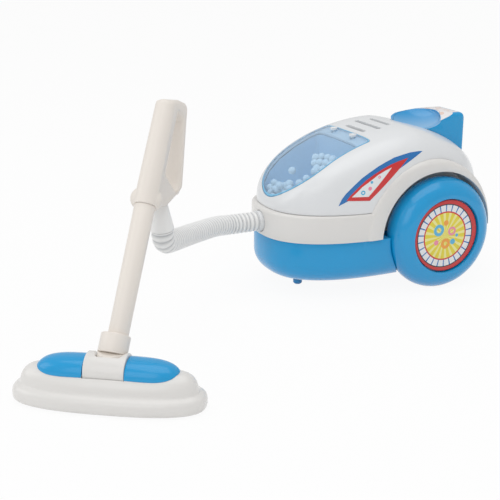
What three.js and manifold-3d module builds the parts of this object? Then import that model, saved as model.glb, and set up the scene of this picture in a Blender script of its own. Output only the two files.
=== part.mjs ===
// Toy canister vacuum cleaner: a bubble-shaped canister on two big wheels, a ribbed hose, a wand with a loop
// handle and a floor head. Millimetres, +Z up, standing on Z = 0. The canister faces -Y, its left side is +X.
import * as THREE from 'three';
import { mergeVertices } from 'three/addons/utils/BufferGeometryUtils.js';
import Module from 'manifold-3d';

const wasm = await Module();
wasm.setup();

// Fits
const GAP = 0.3; // between pieces that seat on each other
const RUN_GAP = 0.5; // round pieces that turn or slide

// Wheels and axle
const WHEEL_RADIUS = 32;
const TYRE_ROUND = 10; // radius of the tyre's round section, half the wheel's width
const WHEEL_OFFSET = 36.5; // middle of a wheel from the canister's middle plane
const HUB_RADIUS = 20.6;
const HUB_THICKNESS = 1.6;
const HUB_SINK = 1.4; // hub disc below the tyre's outer face
const HUB_RIM_GAP = 0.7; // groove round the hub disc
const AXLE_RADIUS = 1.5;
const NUT_RADIUS = 4.2;
const NUT_THICKNESS = 1.6;
const WELL_CLEARANCE = 3.6; // wheel arch above the tyre
const WELL_FORWARD = 2.6; // middle of the arch, forward of the axle

// Canister body, measured forward from the axle
const BODY_FRONT = 94;
const BODY_REAR = 44;
const BODY_HALF_WIDTH = 40;
const PLAN_MIDDLE = 28; // widest place, forward of the axle
const PLAN_POWER = 2.5; // squareness of the plan outline
const BASE_CLEARANCE = 8.5;
const BASE_INSET = 1.2; // base drawn in below the skirt
const BASE_ROUND = 12; // rounding of the base's bottom edge
const BASE_WALL = 2;
const SEAM_HEIGHT = 33; // base to skirt
const LEDGE_HEIGHT = 48.5; // skirt to dome
const LEDGE_THICKNESS = 1.6;
const LEDGE_FRONT = 3;
const LEDGE_SIDE = 1;
const LEDGE_REAR = 2;
const LEDGE_ROUND = 1.4;

// Fenders over the wheels, an arch that leans forward of the wheel
const FENDER_RADIUS = 41.2;
const FENDER_FORWARD = 7;
const FENDER_HEIGHT = 33.5;
const FENDER_FACE = 40; // outer face from the middle plane
const FENDER_DEPTH = 16;
const FENDER_ROUND = 1.5;
const WELL_WALL = 2;

// Dome
const DOME_HEIGHT = 41.5;
const DOME_WALL = 2.6;
const DOME_CREST = 12; // highest place, forward of the axle
const DOME_FRONT_POWER = 1.75;
const DOME_FRONT_FULLNESS = 1.6;
const DOME_REAR_POWER = 1.35;
const DOME_REAR_FULLNESS = 2.3;
const DOME_SECTION_POWER = 4.5; // squareness across
const DOME_REAR_SECTION = 2.6; // squareness across at the rear end
const DOME_STATIONS = 16;
const DOME_SPAN = 14;

// Window in the dome's front slope
const WINDOW_TOP = 38.3;
const WINDOW_TIP = 89.3;
const WINDOW_HALF_WIDTH = 24.6;
const WINDOW_SHOULDER = 66; // where the straight sides start to round in
const WINDOW_CORNER = 2.5;
const WINDOW_LIP = 1.5; // rebate that carries the pane
const WINDOW_TOP_LIP = 7;
const PANE_THICKNESS = 1.2;
const PANE_SCREW_SPACING = 21;

// Vent slots on the dome's top, from front to back
const VENT_FORWARD = 33.8;
const VENT_PITCH = 7.9;
const VENT_HALF_LENGTH = 10;
const VENT_MIDDLE_EXTRA = 3.3; // the middle slot is longer by this much at each end
const VENT_WIDTH = 2.6;

// Bead tray and foam beads
const TRAY_WALL = 1.5;
const TRAY_BACK = 19;
const TRAY_SLOTS = 5;
const TRAY_SLOT_WIDTH = 2.5;
const TRAY_SLOT_PITCH = 6;
const BEAD_RADIUS = 2.2;
const BEAD_COUNT = 8;
const BEAD_SPREAD = 16.5; // half-width of the arc of beads at the front of the tray
const BEAD_ARC_DEPTH = 9;

// Tail handle and power button
const TAIL_WALL = 1; // round the button
const TAIL_FRONT_HEIGHT = 0.3; // this and the next two are above the dome's top
const TAIL_TOP_HEIGHT = 4.4;
const TAIL_BACK_HEIGHT = 3.2;
const TAIL_BACK = 33;
const TAIL_CORNER = 4; // rounding of the upper rear edge
const TAIL_FOOT_HEIGHT = 6.5; // above the ledge
const TAIL_ROUND = 2.4;
const BUTTON_BACK = 7; // middle of the button behind the axle
const BUTTON_HALF_LENGTH = 14.2;
const BUTTON_HALF_WIDTH = 10.5;
const BUTTON_DISH = 3; // depth of its hollow
const BUTTON_UNDERSIDE = 4.8; // below the dome's top
const BUTTON_TRAVEL = 2;
const STEM_RADIUS = 2.2;
const SWITCH_LENGTH = 12;
const SWITCH_WIDTH = 9;
const SWITCH_HEIGHT = 6;
const PLUNGER_HEIGHT = 3;
const SPRING_RADIUS = 3.9;
const SPRING_WIRE = 0.4;
const SPRING_TURNS = 4;

// Motor, fan and the frame that carries them
const MOTOR_HEIGHT = 6.5; // above the ledge
const MOTOR_RADIUS = 10;
const MOTOR_FLAT = 7.5; // half-distance between the can's flat sides
const MOTOR_FRONT = 10;
const MOTOR_LENGTH = 25;
const MOTOR_BOSS_RADIUS = 3;
const MOTOR_BOSS = 1.5;
const SHAFT_RADIUS = 1;
const SHAFT_LENGTH = 9;
const FAN_RADIUS = 15;
const FAN_DEPTH = 5;
const FAN_HUB_RADIUS = 4;
const FAN_BLADES = 7;
const FAN_PITCH = 35;
const FRAME_HALF_WIDTH = 9;
const FRAME_WALL = 3.2;
const FRAME_FOOT = 12; // length of its foot
const SWITCH_SHELF_HEIGHT = 14.7; // above the motor's axis

// Battery bay under the canister
const CELL_RADIUS = 7.1;
const CELL_LENGTH = 50;
const CELL_NUB_RADIUS = 2.7;
const CELL_NUB = 1.5;
const BAY_BACK = 4.5; // its rear inner wall, forward of the axle
const BAY_SPARE = 7; // room for a spring and two contacts beyond a cell's length
const BAY_WALL = 1.6;
const DOOR_THICKNESS = 1.7;
const DOOR_LAP = 1;
const DOOR_LUG_RADIUS = 4;
const CONTACT_THICKNESS = 0.5;
const CONTACT_HALF_WIDTH = 5;
const CONTACT_HALF_HEIGHT = 5;
const CONTACT_COIL_FOOT = 4.6;
const CONTACT_COIL_TOP = 2.8;
const CONTACT_TURNS = 3;

// Screws and bosses
const SCREW_RADIUS = 1.2;
const SCREW_HEAD_RADIUS = 2.6;
const SCREW_HEAD = 1.8;
const BOSS_RADIUS = 4.2;
const BOSS_HEIGHT_ABOVE_SEAM = 11;
const SCREW_HEAD_DEPTH = 6; // head below the seam
const FRONT_BOSS_ANGLE = 55;
const REAR_BOSS_ANGLE = 158;

// Front glide foot
const FOOT_FORWARD = 69.5;
const FOOT_RADIUS = 2.9;
const FOOT_STEM_RADIUS = 1.5;
const FOOT_STEM_REACH = 1.5; // through the base

// Hose and its two ends
const HOSE_RADIUS = 5.5;
const HOSE_GROOVE = 0.9;
const HOSE_BORE = 3.6;
const HOSE_RIBS = 36;
const HOSE_SIDES = 8;
const RIBS_PER_BORE_RING = 5;
const HOSE_LEAD = 1.8; // straight part at the wand
const HOSE_RUN_IN = 9; // straight part at the inlet
const INLET_HEIGHT = 7.5; // above the seam
const INLET_RADIUS = 5.9;
const INLET_BORE = 4;
const INLET_REACH = 2; // collar ahead of the body's front
const INLET_FLANGE = 8.5;
const INLET_FLANGE_THICKNESS = 2;
const INLET_ROOM = 10; // behind the front wall
const CUFF_RADIUS = 3.7; // at the wand
const CUFF_RIM = 0.3; // beyond the hose, at its other end
const CUFF_RIM_LENGTH = 3;
const CUFF_LENGTH = 13;
const SPIGOT_RADIUS = 2.3;
const SPIGOT_LENGTH = 10;
const SPIGOT_DROP = 47; // below square to the wand, in degrees
const BRANCH_RADIUS = 3.9;
const BRANCH_LENGTH = 2.6;
const BRANCH_BACK = 17.1; // its root behind the wand's middle line
const BRANCH_HEIGHT = 9.4; // its root above the handle's foot

// Floor head: where it stands from the axle, and how it is turned
const HEAD_X = 102;
const HEAD_Y = -216;
const HEAD_YAW = 55;
const HEAD_HALF_LENGTH = 43.5;
const HEAD_HALF_DEPTH = 15.2;
const HEAD_POWER = 2.6;
const HEAD_LIFT = 0.6; // shell above the floor
const HEAD_FLANGE_HEIGHT = 8;
const HEAD_FLANGE_STEP = 3;
const HEAD_STEP_LEDGE = 0.3; // flat between the flange and the upper part
const HEAD_TOP = 16.5;
const HEAD_TOP_ROUND = 7;
const HEAD_ROOF = 2;
const HEAD_WALL = 3.2;
const HEAD_POST_RADIUS = 3;
const SOLE_THICKNESS = 2.2;
const SOLE_GROOVE_LENGTH = 40;
const SOLE_GROOVE_WIDTH = 5;
const SOLE_GROOVE_DEPTH = 1;
const CAP_START = 9.5;
const CAP_END = 32.5;
const CAP_HALF_WIDTH = 8.8;
const CAP_HEIGHT = 4.9;
const CAP_SKIRT = 3; // how far its edge reaches down over the shell's shoulder
const HEAD_SCREW_SPACING = 50;
const SOLE_SCREW_RADIUS = 2.1;
const SOLE_SCREW_HEAD = 1;
const SOLE_SCREW_SINK = 0.4; // head above the floor, so that the sole rests flat
const SOLE_SCREW_SHANK = 8;

// Neck: a drum that tilts in the head and a collar that leans on the drum's tongue
const TILT_HEIGHT = 15;
const NECK_TILT = 33.5;
const NECK_LEAN = 4.5;
const WAND_TWIST = -6.8;
const NECK_SHIFT = 0.8; // collar from the drum's middle
const DRUM_RADIUS = 8.3;
const SEAT_DROP = 4.4; // collar's seat below the lean pin
const PIN_RADIUS = 1.1;
const TILT_PIN_LENGTH = 27;
const LEAN_PIN_HEIGHT = 10.6; // above the tilt axis
const TONGUE_HALF_WIDTH = 2.8;
const TONGUE_HALF_THICKNESS = 1.9;
const COLLAR_RADIUS = 7.15;
const COLLAR_BELOW_PIN = 2.9;
const COLLAR_LENGTH = 10.6;
const COLLAR_EDGE = 0.6; // rounding of its upper edge
const COLLAR_CHAMFER = 1.4;
const POCKET_HALF_WIDTH = 4.4;
const SOCKET_DEPTH = 4;

// Wand, measured up from the lean pin
const TUBE_FOOT_RADIUS = 4.75;
const TUBE_TOP_RADIUS = 5.05;
const TUBE_TOP = 65;
const TUBE_WALL = 1.2;
const TUBE_SPIGOT_RADIUS = 3.9;
const TUBE_SPIGOT = 8;
const HANDLE_TOP = 117.5;
const LEG_FOOT_RADIUS = 5.4;
const LEG_TOP_RADIUS = 4.75;
const LOOP_HALF_WIDTH = 4.6;
const LOOP_ROUND = 1.8;
const LOOP_DEPTH = 29.2; // furthest back
const LOOP_CROWN_DEPTH = 13; // highest place
const LOOP_CROWN_RISE = 3.2; // above the leg
const LOOP_CORNER_DEPTH = 18.4; // where the back starts
const LOOP_CORNER_DROP = 0.4; // below the leg's top
const LOOP_BACK_DROP = 31.5;
const LOOP_TURN = 2.2; // height of the lower rear corner
const LOOP_BAR_DEPTH = 23.3; // underside of the lower bar
const LOOP_BAR_RISE = 11.4; // above the handle's foot
const LOOP_STRUT_DEPTH = 15.8;
const LOOP_STRUT_RISE = 5.6;
const LOOP_RIM = 3.2; // of the loop over its hole, below the leg's top
const HOLE_START = 0.5; // behind the leg
const HOLE_FOOT_RISE = 17.9; // above the handle's foot, at the leg
const HOLE_BAR_DEPTH = 22;
const HOLE_BAR_RISE = 15.2;
const LOOP_BACK_BAR = 4.2; // thickness of the back
const SWELL_HALF_WIDTH = 7.2;
const SWELL_HALF_DEPTH = 6.5;
const SWELL_HALF_HEIGHT = 5.2;
const SWELL_BACK = 3.2;
const SWELL_RISE = 4.8;

const DEGREE = Math.PI / 180;
const MERGE_DISTANCE = 1e-4;
const AXLE_HEIGHT = WHEEL_RADIUS;
const WELL_RADIUS = WHEEL_RADIUS + WELL_CLEARANCE;
const WHEEL_INNER_FACE = WHEEL_OFFSET - TYRE_ROUND;
const WELL_FACE = WHEEL_INNER_FACE - RUN_GAP;
const DOME_TOP = LEDGE_HEIGHT + GAP + DOME_HEIGHT;
const TAIL_HALF_WIDTH = BUTTON_HALF_WIDTH + RUN_GAP + TAIL_WALL;
const TAIL_FRONT = BUTTON_HALF_LENGTH + RUN_GAP + TAIL_WALL - BUTTON_BACK;
const BUTTON_FOOT = DOME_TOP - BUTTON_UNDERSIDE;
const MOTOR_AXIS = LEDGE_HEIGHT + MOTOR_HEIGHT;
const SHELF_TOP = MOTOR_AXIS + SWITCH_SHELF_HEIGHT;
const INLET_AXIS = SEAM_HEIGHT + INLET_HEIGHT;
const HANDLE_FOOT = TUBE_TOP + GAP;
const FAR = 400; // reach of a cutting tool that goes right through
const SIDES = { left: 1, right: -1 };

// Makes a bare geometry with shared vertices, no collapsed triangles and its faces turned outwards.
function cleaned(geometry) {
  const bare = new THREE.BufferGeometry();
  bare.setAttribute('position', geometry.getAttribute('position').clone());
  if (geometry.index) {
    bare.setIndex(geometry.index.clone());
  }
  const merged = mergeVertices(bare, MERGE_DISTANCE);
  const corners = merged.index.array;
  const kept = [];
  for (let i = 0; i < corners.length; i += 3) {
    const [a, b, c] = [corners[i], corners[i + 1], corners[i + 2]];
    if (a !== b && b !== c && c !== a) {
      kept.push(a, b, c);
    }
  }
  const outward = signedVolume(merged, kept) > 0;
  merged.setIndex(outward ? kept : kept.reverse());
  return merged;
}

function signedVolume(geometry, corners) {
  const position = geometry.getAttribute('position');
  const [a, b, c] = [new THREE.Vector3(), new THREE.Vector3(), new THREE.Vector3()];
  let volume = 0;
  for (let i = 0; i < corners.length; i += 3) {
    a.fromBufferAttribute(position, corners[i]);
    b.fromBufferAttribute(position, corners[i + 1]);
    c.fromBufferAttribute(position, corners[i + 2]);
    volume += a.dot(b.cross(c)) / 6;
  }
  return volume;
}

function solidOf(geometry) {
  const clean = cleaned(geometry);
  return new wasm.Manifold(new wasm.Mesh({
    numProp: 3,
    vertProperties: new Float32Array(clean.getAttribute('position').array),
    triVerts: new Uint32Array(clean.index.array),
  }));
}

function geometryOf(solid) {
  const mesh = solid.getMesh();
  const geometry = new THREE.BufferGeometry();
  geometry.setAttribute('position', new THREE.BufferAttribute(new Float32Array(mesh.vertProperties), 3));
  geometry.setIndex(new THREE.BufferAttribute(new Uint32Array(mesh.triVerts), 1));
  return geometry;
}

function join(first, ...others) {
  return geometryOf(others.reduce((sum, other) => sum.add(solidOf(other)), solidOf(first)));
}

function cut(first, ...tools) {
  return geometryOf(tools.reduce((rest, tool) => rest.subtract(solidOf(tool)), solidOf(first)));
}

function common(first, second) {
  return geometryOf(solidOf(first).intersect(solidOf(second)));
}

function box(x0, x1, y0, y1, z0, z1) {
  return new THREE.BoxGeometry(x1 - x0, y1 - y0, z1 - z0)
    .translate((x0 + x1) / 2, (y0 + y1) / 2, (z0 + z1) / 2);
}

// Round rods along each axis, given by their two ends and the middle of their section.
function rodX(radius, x0, x1, y, z, sides = 16) {
  return new THREE.CylinderGeometry(radius, radius, x1 - x0, sides)
    .rotateZ(Math.PI / 2).translate((x0 + x1) / 2, y, z);
}

function rodY(radius, y0, y1, x, z, sides = 16) {
  return new THREE.CylinderGeometry(radius, radius, y1 - y0, sides).translate(x, (y0 + y1) / 2, z);
}

function rodZ(radius, z0, z1, x, y, sides = 12) {
  return new THREE.CylinderGeometry(radius, radius, z1 - z0, sides)
    .rotateX(Math.PI / 2).translate(x, y, (z0 + z1) / 2);
}

// Turns a profile of [radius, height] pairs about Z.
function revolve(profile, sides = 20) {
  const points = profile.map(([radius, height]) => new THREE.Vector2(radius, height));
  return new THREE.LatheGeometry(points, sides).rotateX(Math.PI / 2);
}

function prism(shape, z0, z1, curveSegments = 8) {
  return new THREE.ExtrudeGeometry(shape, { depth: z1 - z0, bevelEnabled: false, curveSegments })
    .translate(0, 0, z0);
}

// Extrudes an outline drawn in the YZ plane to both sides of X = 0, with rounded edges.
function sideProfile(shape, halfWidth, round, curveSegments = 8) {
  const flat = halfWidth - round;
  const geometry = new THREE.ExtrudeGeometry(shape, {
    depth: 2 * flat,
    bevelEnabled: round > 0,
    bevelThickness: round,
    bevelSize: round,
    bevelOffset: -round,
    bevelSegments: 2,
    curveSegments,
  });
  const basis = new THREE.Matrix4().makeBasis(
    new THREE.Vector3(0, 1, 0),
    new THREE.Vector3(0, 0, 1),
    new THREE.Vector3(1, 0, 0),
  );
  return geometry.translate(0, 0, -flat).applyMatrix4(basis);
}

// Skins a row of rings that have as many points each, closed by a tip at each end.
function loft(rings, startTip = middleOf(rings[0]), endTip = middleOf(rings.at(-1))) {
  const count = rings[0].length;
  const points = [startTip, ...rings.flat(), endTip];
  const at = (ring, i) => 1 + ring * count + (i % count);
  const faces = [];
  for (let i = 0; i < count; i += 1) {
    faces.push(0, at(0, i + 1), at(0, i));
    for (let ring = 0; ring + 1 < rings.length; ring += 1) {
      faces.push(at(ring, i), at(ring, i + 1), at(ring + 1, i + 1));
      faces.push(at(ring, i), at(ring + 1, i + 1), at(ring + 1, i));
    }
    faces.push(points.length - 1, at(rings.length - 1, i), at(rings.length - 1, i + 1));
  }
  const geometry = new THREE.BufferGeometry().setFromPoints(points);
  geometry.setIndex(faces);
  return cleaned(geometry);
}

function middleOf(ring) {
  const sum = ring.reduce((total, point) => total.add(point), new THREE.Vector3());
  return sum.divideScalar(ring.length);
}

const signedPower = (value, power) => Math.sign(value) * Math.abs(value) ** power;

function superEllipseRing(halfX, halfY, power, z, count = 24) {
  return Array.from({ length: count }, (_, i) => {
    const angle = (i / count) * 2 * Math.PI;
    return new THREE.Vector3(
      halfX * signedPower(Math.cos(angle), 2 / power),
      halfY * signedPower(Math.sin(angle), 2 / power),
      z,
    );
  });
}

function plastic(color, roughness = 0.35) {
  return new THREE.MeshStandardMaterial({ color, roughness, metalness: 0 });
}

function metal(color, roughness = 0.3) {
  return new THREE.MeshStandardMaterial({ color, roughness, metalness: 1 });
}

const BLUE = 0x1a92e6;
const WHITE = 0xf3f4f5;
const IVORY = 0xf0ede6;
const WARM_WHITE = 0xf2ebe7;
const PALE_BLUE = 0xbcd6ea;
const FOAM_WHITE = 0xfafafa;
const STEEL = 0xb9bcc0;
const BRASS = 0xc9a85a;
const BLACK = 0x222326;

function addMesh(group, name, geometry, material) {
  const mesh = new THREE.Mesh(cleaned(geometry), material);
  mesh.name = name;
  group.add(mesh);
  return mesh;
}

function addMarker(group, name, x, y, z) {
  const marker = new THREE.Object3D();
  marker.name = name;
  marker.position.set(x, y, z);
  group.add(marker);
  return marker;
}

// A pan-head screw along Z, its head's outer face at z and its shank pointing up.
function screw(z, shank) {
  const neck = z + SCREW_HEAD;
  return revolve([
    [0, z], [SCREW_HEAD_RADIUS, z], [SCREW_HEAD_RADIUS, neck],
    [SCREW_RADIUS, neck], [SCREW_RADIUS, neck + shank], [0, neck + shank],
  ], 8);
}

class Helix extends THREE.Curve {
  constructor(footRadius, topRadius, height, turns) {
    super();
    Object.assign(this, { footRadius, topRadius, height, turns });
  }

  getPoint(t, target = new THREE.Vector3()) {
    const angle = t * this.turns * 2 * Math.PI;
    const radius = THREE.MathUtils.lerp(this.footRadius, this.topRadius, t);
    return target.set(radius * Math.cos(angle), radius * Math.sin(angle), t * this.height);
  }
}

function coil(footRadius, topRadius, height, turns, wire) {
  const sides = 5;
  const section = new THREE.Shape(Array.from({ length: sides }, (_, i) => {
    const angle = (i / sides) * 2 * Math.PI;
    return new THREE.Vector2(wire * Math.cos(angle), wire * Math.sin(angle));
  }));
  return new THREE.ExtrudeGeometry(section, {
    extrudePath: new Helix(footRadius, topRadius, height, turns),
    steps: turns * 8,
    bevelEnabled: false,
  });
}

// Outline of the canister's body at one height, drawn in by an inset.
function bodyPoint(angle, inset, z) {
  const along = signedPower(Math.cos(angle), 2 / PLAN_POWER);
  const across = signedPower(Math.sin(angle), 2 / PLAN_POWER);
  const reach = along > 0 ? BODY_FRONT - PLAN_MIDDLE : BODY_REAR + PLAN_MIDDLE;
  const forward = PLAN_MIDDLE + along * (reach - inset);
  return new THREE.Vector3(across * (BODY_HALF_WIDTH - inset), -forward, z);
}

function bodyRing(inset, z, count = 32) {
  return Array.from({ length: count }, (_, i) => bodyPoint((i / count) * 2 * Math.PI, inset, z));
}

// The dome, grown by a distance all over, or shrunk where that is negative.
function dome(grow, drop = 0) {
  const front = BODY_FRONT - LEDGE_FRONT + grow;
  const rear = BODY_REAR - LEDGE_REAR + grow;
  const halfWidth = BODY_HALF_WIDTH - LEDGE_SIDE + grow;
  const foot = LEDGE_HEIGHT + GAP;
  const middle = (front - rear) / 2;
  const half = (front + rear) / 2;
  const rings = [];
  for (let k = 1; k < DOME_STATIONS; k += 1) {
    const forward = middle + half * Math.cos((k / DOME_STATIONS) * Math.PI);
    rings.push(domeRing(forward, front, rear, halfWidth, DOME_HEIGHT + grow, foot, drop));
  }
  return loft(rings, new THREE.Vector3(0, -front, foot), new THREE.Vector3(0, rear, foot));
}

function domeRing(forward, front, rear, halfWidth, height, foot, drop) {
  const planReach = forward > PLAN_MIDDLE ? front - PLAN_MIDDLE : rear + PLAN_MIDDLE;
  const planShare = Math.abs(forward - PLAN_MIDDLE) / planReach;
  const width = halfWidth * (1 - planShare ** PLAN_POWER) ** (1 / PLAN_POWER);
  const ahead = forward > DOME_CREST;
  const reach = ahead ? front - DOME_CREST : rear + DOME_CREST;
  const power = ahead ? DOME_FRONT_POWER : DOME_REAR_POWER;
  const fullness = ahead ? DOME_FRONT_FULLNESS : DOME_REAR_FULLNESS;
  const share = Math.abs(forward - DOME_CREST) / reach;
  const section = ahead
    ? DOME_SECTION_POWER
    : THREE.MathUtils.lerp(DOME_SECTION_POWER, DOME_REAR_SECTION, share);
  const rise = height * (1 - share ** power) ** (1 / fullness);
  const ring = Array.from({ length: DOME_SPAN + 1 }, (_, i) => {
    const angle = (i / DOME_SPAN) * Math.PI;
    const across = signedPower(Math.cos(angle), 2 / section);
    const up = Math.abs(Math.sin(angle)) ** (2 / section);
    return new THREE.Vector3(width * across, -forward, foot + (i % DOME_SPAN ? rise * up : 0));
  });
  if (drop > 0) {
    ring.unshift(new THREE.Vector3(width, -forward, foot - drop));
    ring.push(new THREE.Vector3(-width, -forward, foot - drop));
  }
  return ring;
}

// The fender's crescent over one wheel, as a block that the wheel well is cut from.
function fenderBlock(side, grow, inner) {
  const outer = FENDER_FACE + grow;
  const radius = FENDER_RADIUS + grow;
  const round = FENDER_ROUND;
  const profile = [
    [0, inner - grow], [radius, inner - grow], [radius, outer - round],
    [radius - round, outer], [0, outer],
  ];
  return revolve(profile, 32).rotateY(side * Math.PI / 2).translate(0, -FENDER_FORWARD, FENDER_HEIGHT);
}

function wellCut(side) {
  const inner = WELL_FACE;
  const outer = WHEEL_OFFSET + 3 * TYRE_ROUND;
  const [x0, x1] = side > 0 ? [inner, outer] : [-outer, -inner];
  return rodX(WELL_RADIUS, x0, x1, -WELL_FORWARD, AXLE_HEIGHT, 32);
}

function axleHole() {
  return rodX(AXLE_RADIUS + GAP, -WELL_FACE - 1, WELL_FACE + 1, 0, AXLE_HEIGHT, 16);
}

const caseBosses = [FRONT_BOSS_ANGLE, REAR_BOSS_ANGLE].flatMap((degrees) => (
  Object.values(SIDES).map((side) => bodyPoint(side * degrees * DEGREE, BASE_INSET + BASE_WALL + BOSS_RADIUS * 0.8, 0))
));

// Battery bay sizes, all worked out from the cells.
const bay = (() => {
  const floor = BASE_CLEARANCE + BASE_WALL;
  const halfWidth = 2 * CELL_RADIUS + 0.5 + 2 * GAP;
  const cellX = CELL_RADIUS + 0.5;
  const front = BAY_BACK + CELL_LENGTH + BAY_SPARE;
  const cellZ = floor + GAP + CELL_RADIUS;
  const roof = cellZ + CELL_RADIUS + 2 * GAP;
  return { floor, halfWidth, cellX, front, cellZ, roof };
})();
const DOOR_HALF_WIDTH = bay.halfWidth + DOOR_LAP;
const DOOR_FRONT = bay.front + DOOR_LAP;
const DOOR_BACK = BAY_BACK - DOOR_LAP;
const LUG_FORWARD = DOOR_BACK - DOOR_LUG_RADIUS * 0.75;

function doorOutline(grow) {
  const shape = new THREE.Shape();
  const half = DOOR_HALF_WIDTH + grow;
  const lug = DOOR_LUG_RADIUS + grow;
  shape.moveTo(-half, -DOOR_FRONT - grow);
  shape.lineTo(half, -DOOR_FRONT - grow);
  shape.lineTo(half, -DOOR_BACK + grow);
  shape.lineTo(lug, -DOOR_BACK + grow);
  shape.lineTo(lug, -LUG_FORWARD);
  shape.absarc(0, -LUG_FORWARD, lug, 0, Math.PI);
  shape.lineTo(-lug, -DOOR_BACK + grow);
  shape.lineTo(-half, -DOOR_BACK + grow);
  return shape;
}

function baseShell() {
  const rim = SEAM_HEIGHT;
  const steps = 3;
  const outerRings = [];
  const innerRings = [];
  for (let k = 0; k <= steps; k += 1) {
    const turn = (k / steps) * Math.PI / 2;
    const inset = BASE_INSET + BASE_ROUND * (1 - Math.sin(turn));
    const rise = BASE_ROUND * (1 - Math.cos(turn));
    outerRings.push(bodyRing(inset, BASE_CLEARANCE + rise));
    innerRings.push(bodyRing(inset + BASE_WALL, BASE_CLEARANCE + BASE_WALL + rise));
  }
  outerRings.push(bodyRing(BASE_INSET, rim));
  innerRings.push(bodyRing(BASE_INSET + BASE_WALL, rim + 1));
  const outer = loft(outerRings);
  let shell = cut(outer, loft(innerRings));
  const bayOuter = box(
    -bay.halfWidth - BAY_WALL, bay.halfWidth + BAY_WALL,
    -bay.front - BAY_WALL, -BAY_BACK + BAY_WALL, BASE_CLEARANCE, bay.roof + BAY_WALL,
  );
  const lugBoss = rodZ(DOOR_LUG_RADIUS - 0.5, BASE_CLEARANCE, bay.floor + 8, 0, -LUG_FORWARD);
  const bossRods = caseBosses.map((p) => common(rodZ(BOSS_RADIUS, 0, rim, p.x, p.y), outer));
  const wells = Object.values(SIDES).map((side) => common(
    common(fenderBlock(side, 0, WELL_FACE - WELL_WALL), outer),
    box(-FAR, FAR, -FAR, FAR, -FAR, rim),
  ));
  shell = join(shell, bayOuter, lugBoss, ...bossRods, ...wells);
  const bayInner = box(-bay.halfWidth, bay.halfWidth, -bay.front, -BAY_BACK, 0, bay.roof);
  const doorway = prism(doorOutline(GAP), 0, BASE_CLEARANCE + BASE_WALL);
  const screwHoles = caseBosses.flatMap((p) => [
    rodZ(SCREW_RADIUS + GAP, 0, rim + 1, p.x, p.y, 8),
    rodZ(SCREW_HEAD_RADIUS + GAP, 0, rim - SCREW_HEAD_DEPTH + SCREW_HEAD + GAP, p.x, p.y, 10),
  ]);
  const lugHole = rodZ(SCREW_RADIUS + GAP, 0, bay.floor + 7, 0, -LUG_FORWARD, 12);
  const footHole = rodZ(FOOT_STEM_RADIUS + GAP, 0, BASE_CLEARANCE + 2 * BASE_WALL, 0, -FOOT_FORWARD, 12);
  return cut(
    shell, bayInner, doorway, ...screwHoles, lugHole, footHole, axleHole(),
    ...Object.values(SIDES).map(wellCut),
  );
}

function batteryDoor() {
  const top = BASE_CLEARANCE + BASE_WALL - GAP;
  const door = prism(doorOutline(0), top - DOOR_THICKNESS, top);
  const gripForward = DOOR_FRONT - 9;
  const grooves = [0, 1, 2].map((k) => (
    box(-8, 8, -gripForward + 3 * k, -gripForward + 3 * k + 1.4, 0, top - DOOR_THICKNESS + 0.7)
  ));
  const hole = rodZ(SCREW_RADIUS + GAP, 0, top + 1, 0, -LUG_FORWARD, 12);
  return cut(door, ...grooves, hole);
}

function cell(plusForward) {
  const body = CELL_LENGTH - CELL_NUB;
  const profile = [
    [0, 0], [CELL_RADIUS - 0.6, 0], [CELL_RADIUS, 0.6], [CELL_RADIUS, body - 0.6], [CELL_RADIUS - 0.6, body],
    [CELL_NUB_RADIUS, body], [CELL_NUB_RADIUS, CELL_LENGTH], [0, CELL_LENGTH],
  ];
  const geometry = revolve(profile, 20).rotateX(plusForward ? Math.PI / 2 : -Math.PI / 2);
  const forward = bay.front - CONTACT_THICKNESS - 2 * GAP;
  const back = BAY_BACK + CONTACT_THICKNESS + 2 * GAP;
  return plusForward
    ? geometry.translate(-bay.cellX, -(forward - CELL_LENGTH), bay.cellZ)
    : geometry.translate(bay.cellX, -(back + CELL_LENGTH), bay.cellZ);
}

function contactPlate(x0, x1, forward) {
  return box(
    x0, x1, -forward, -forward + CONTACT_THICKNESS,
    bay.cellZ - CONTACT_HALF_HEIGHT, bay.cellZ + CONTACT_HALF_HEIGHT,
  );
}

function contactCoil(x, forward, towardsFront) {
  const length = BAY_SPARE - 2 * CONTACT_THICKNESS - 4 * GAP;
  const geometry = coil(CONTACT_COIL_FOOT, CONTACT_COIL_TOP, length, CONTACT_TURNS, SPRING_WIRE);
  return geometry.rotateX(towardsFront ? Math.PI / 2 : -Math.PI / 2).translate(x, -forward, bay.cellZ);
}

function addBatteries(group) {
  const frontPlate = bay.front - GAP;
  const backPlate = BAY_BACK + GAP + CONTACT_THICKNESS;
  const width = CONTACT_HALF_WIDTH;
  addMesh(group, 'aa_cell_1', cell(true), metal(BRASS));
  addMesh(group, 'aa_cell_2', cell(false), metal(BRASS));
  const bridge = join(
    contactPlate(-bay.cellX - width, bay.cellX + width, frontPlate),
    contactCoil(bay.cellX, frontPlate - CONTACT_THICKNESS + GAP, false),
  );
  addMesh(group, 'contact_bridge', bridge, metal(STEEL));
  const minus = join(
    contactPlate(-bay.cellX - width, -bay.cellX + width, backPlate),
    contactCoil(-bay.cellX, backPlate - GAP, true),
  );
  addMesh(group, 'contact_minus', minus, metal(STEEL));
  const plus = contactPlate(bay.cellX - width, bay.cellX + width, backPlate);
  addMesh(group, 'contact_plus', plus, metal(STEEL));
}

// Room for the hose inlet, through the front wall.
function hoseHole() {
  const back = -BODY_FRONT + BASE_WALL + INLET_ROOM;
  return rodY(INLET_RADIUS + GAP, -BODY_FRONT - INLET_REACH - 1, back, 0, INLET_AXIS);
}

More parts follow.
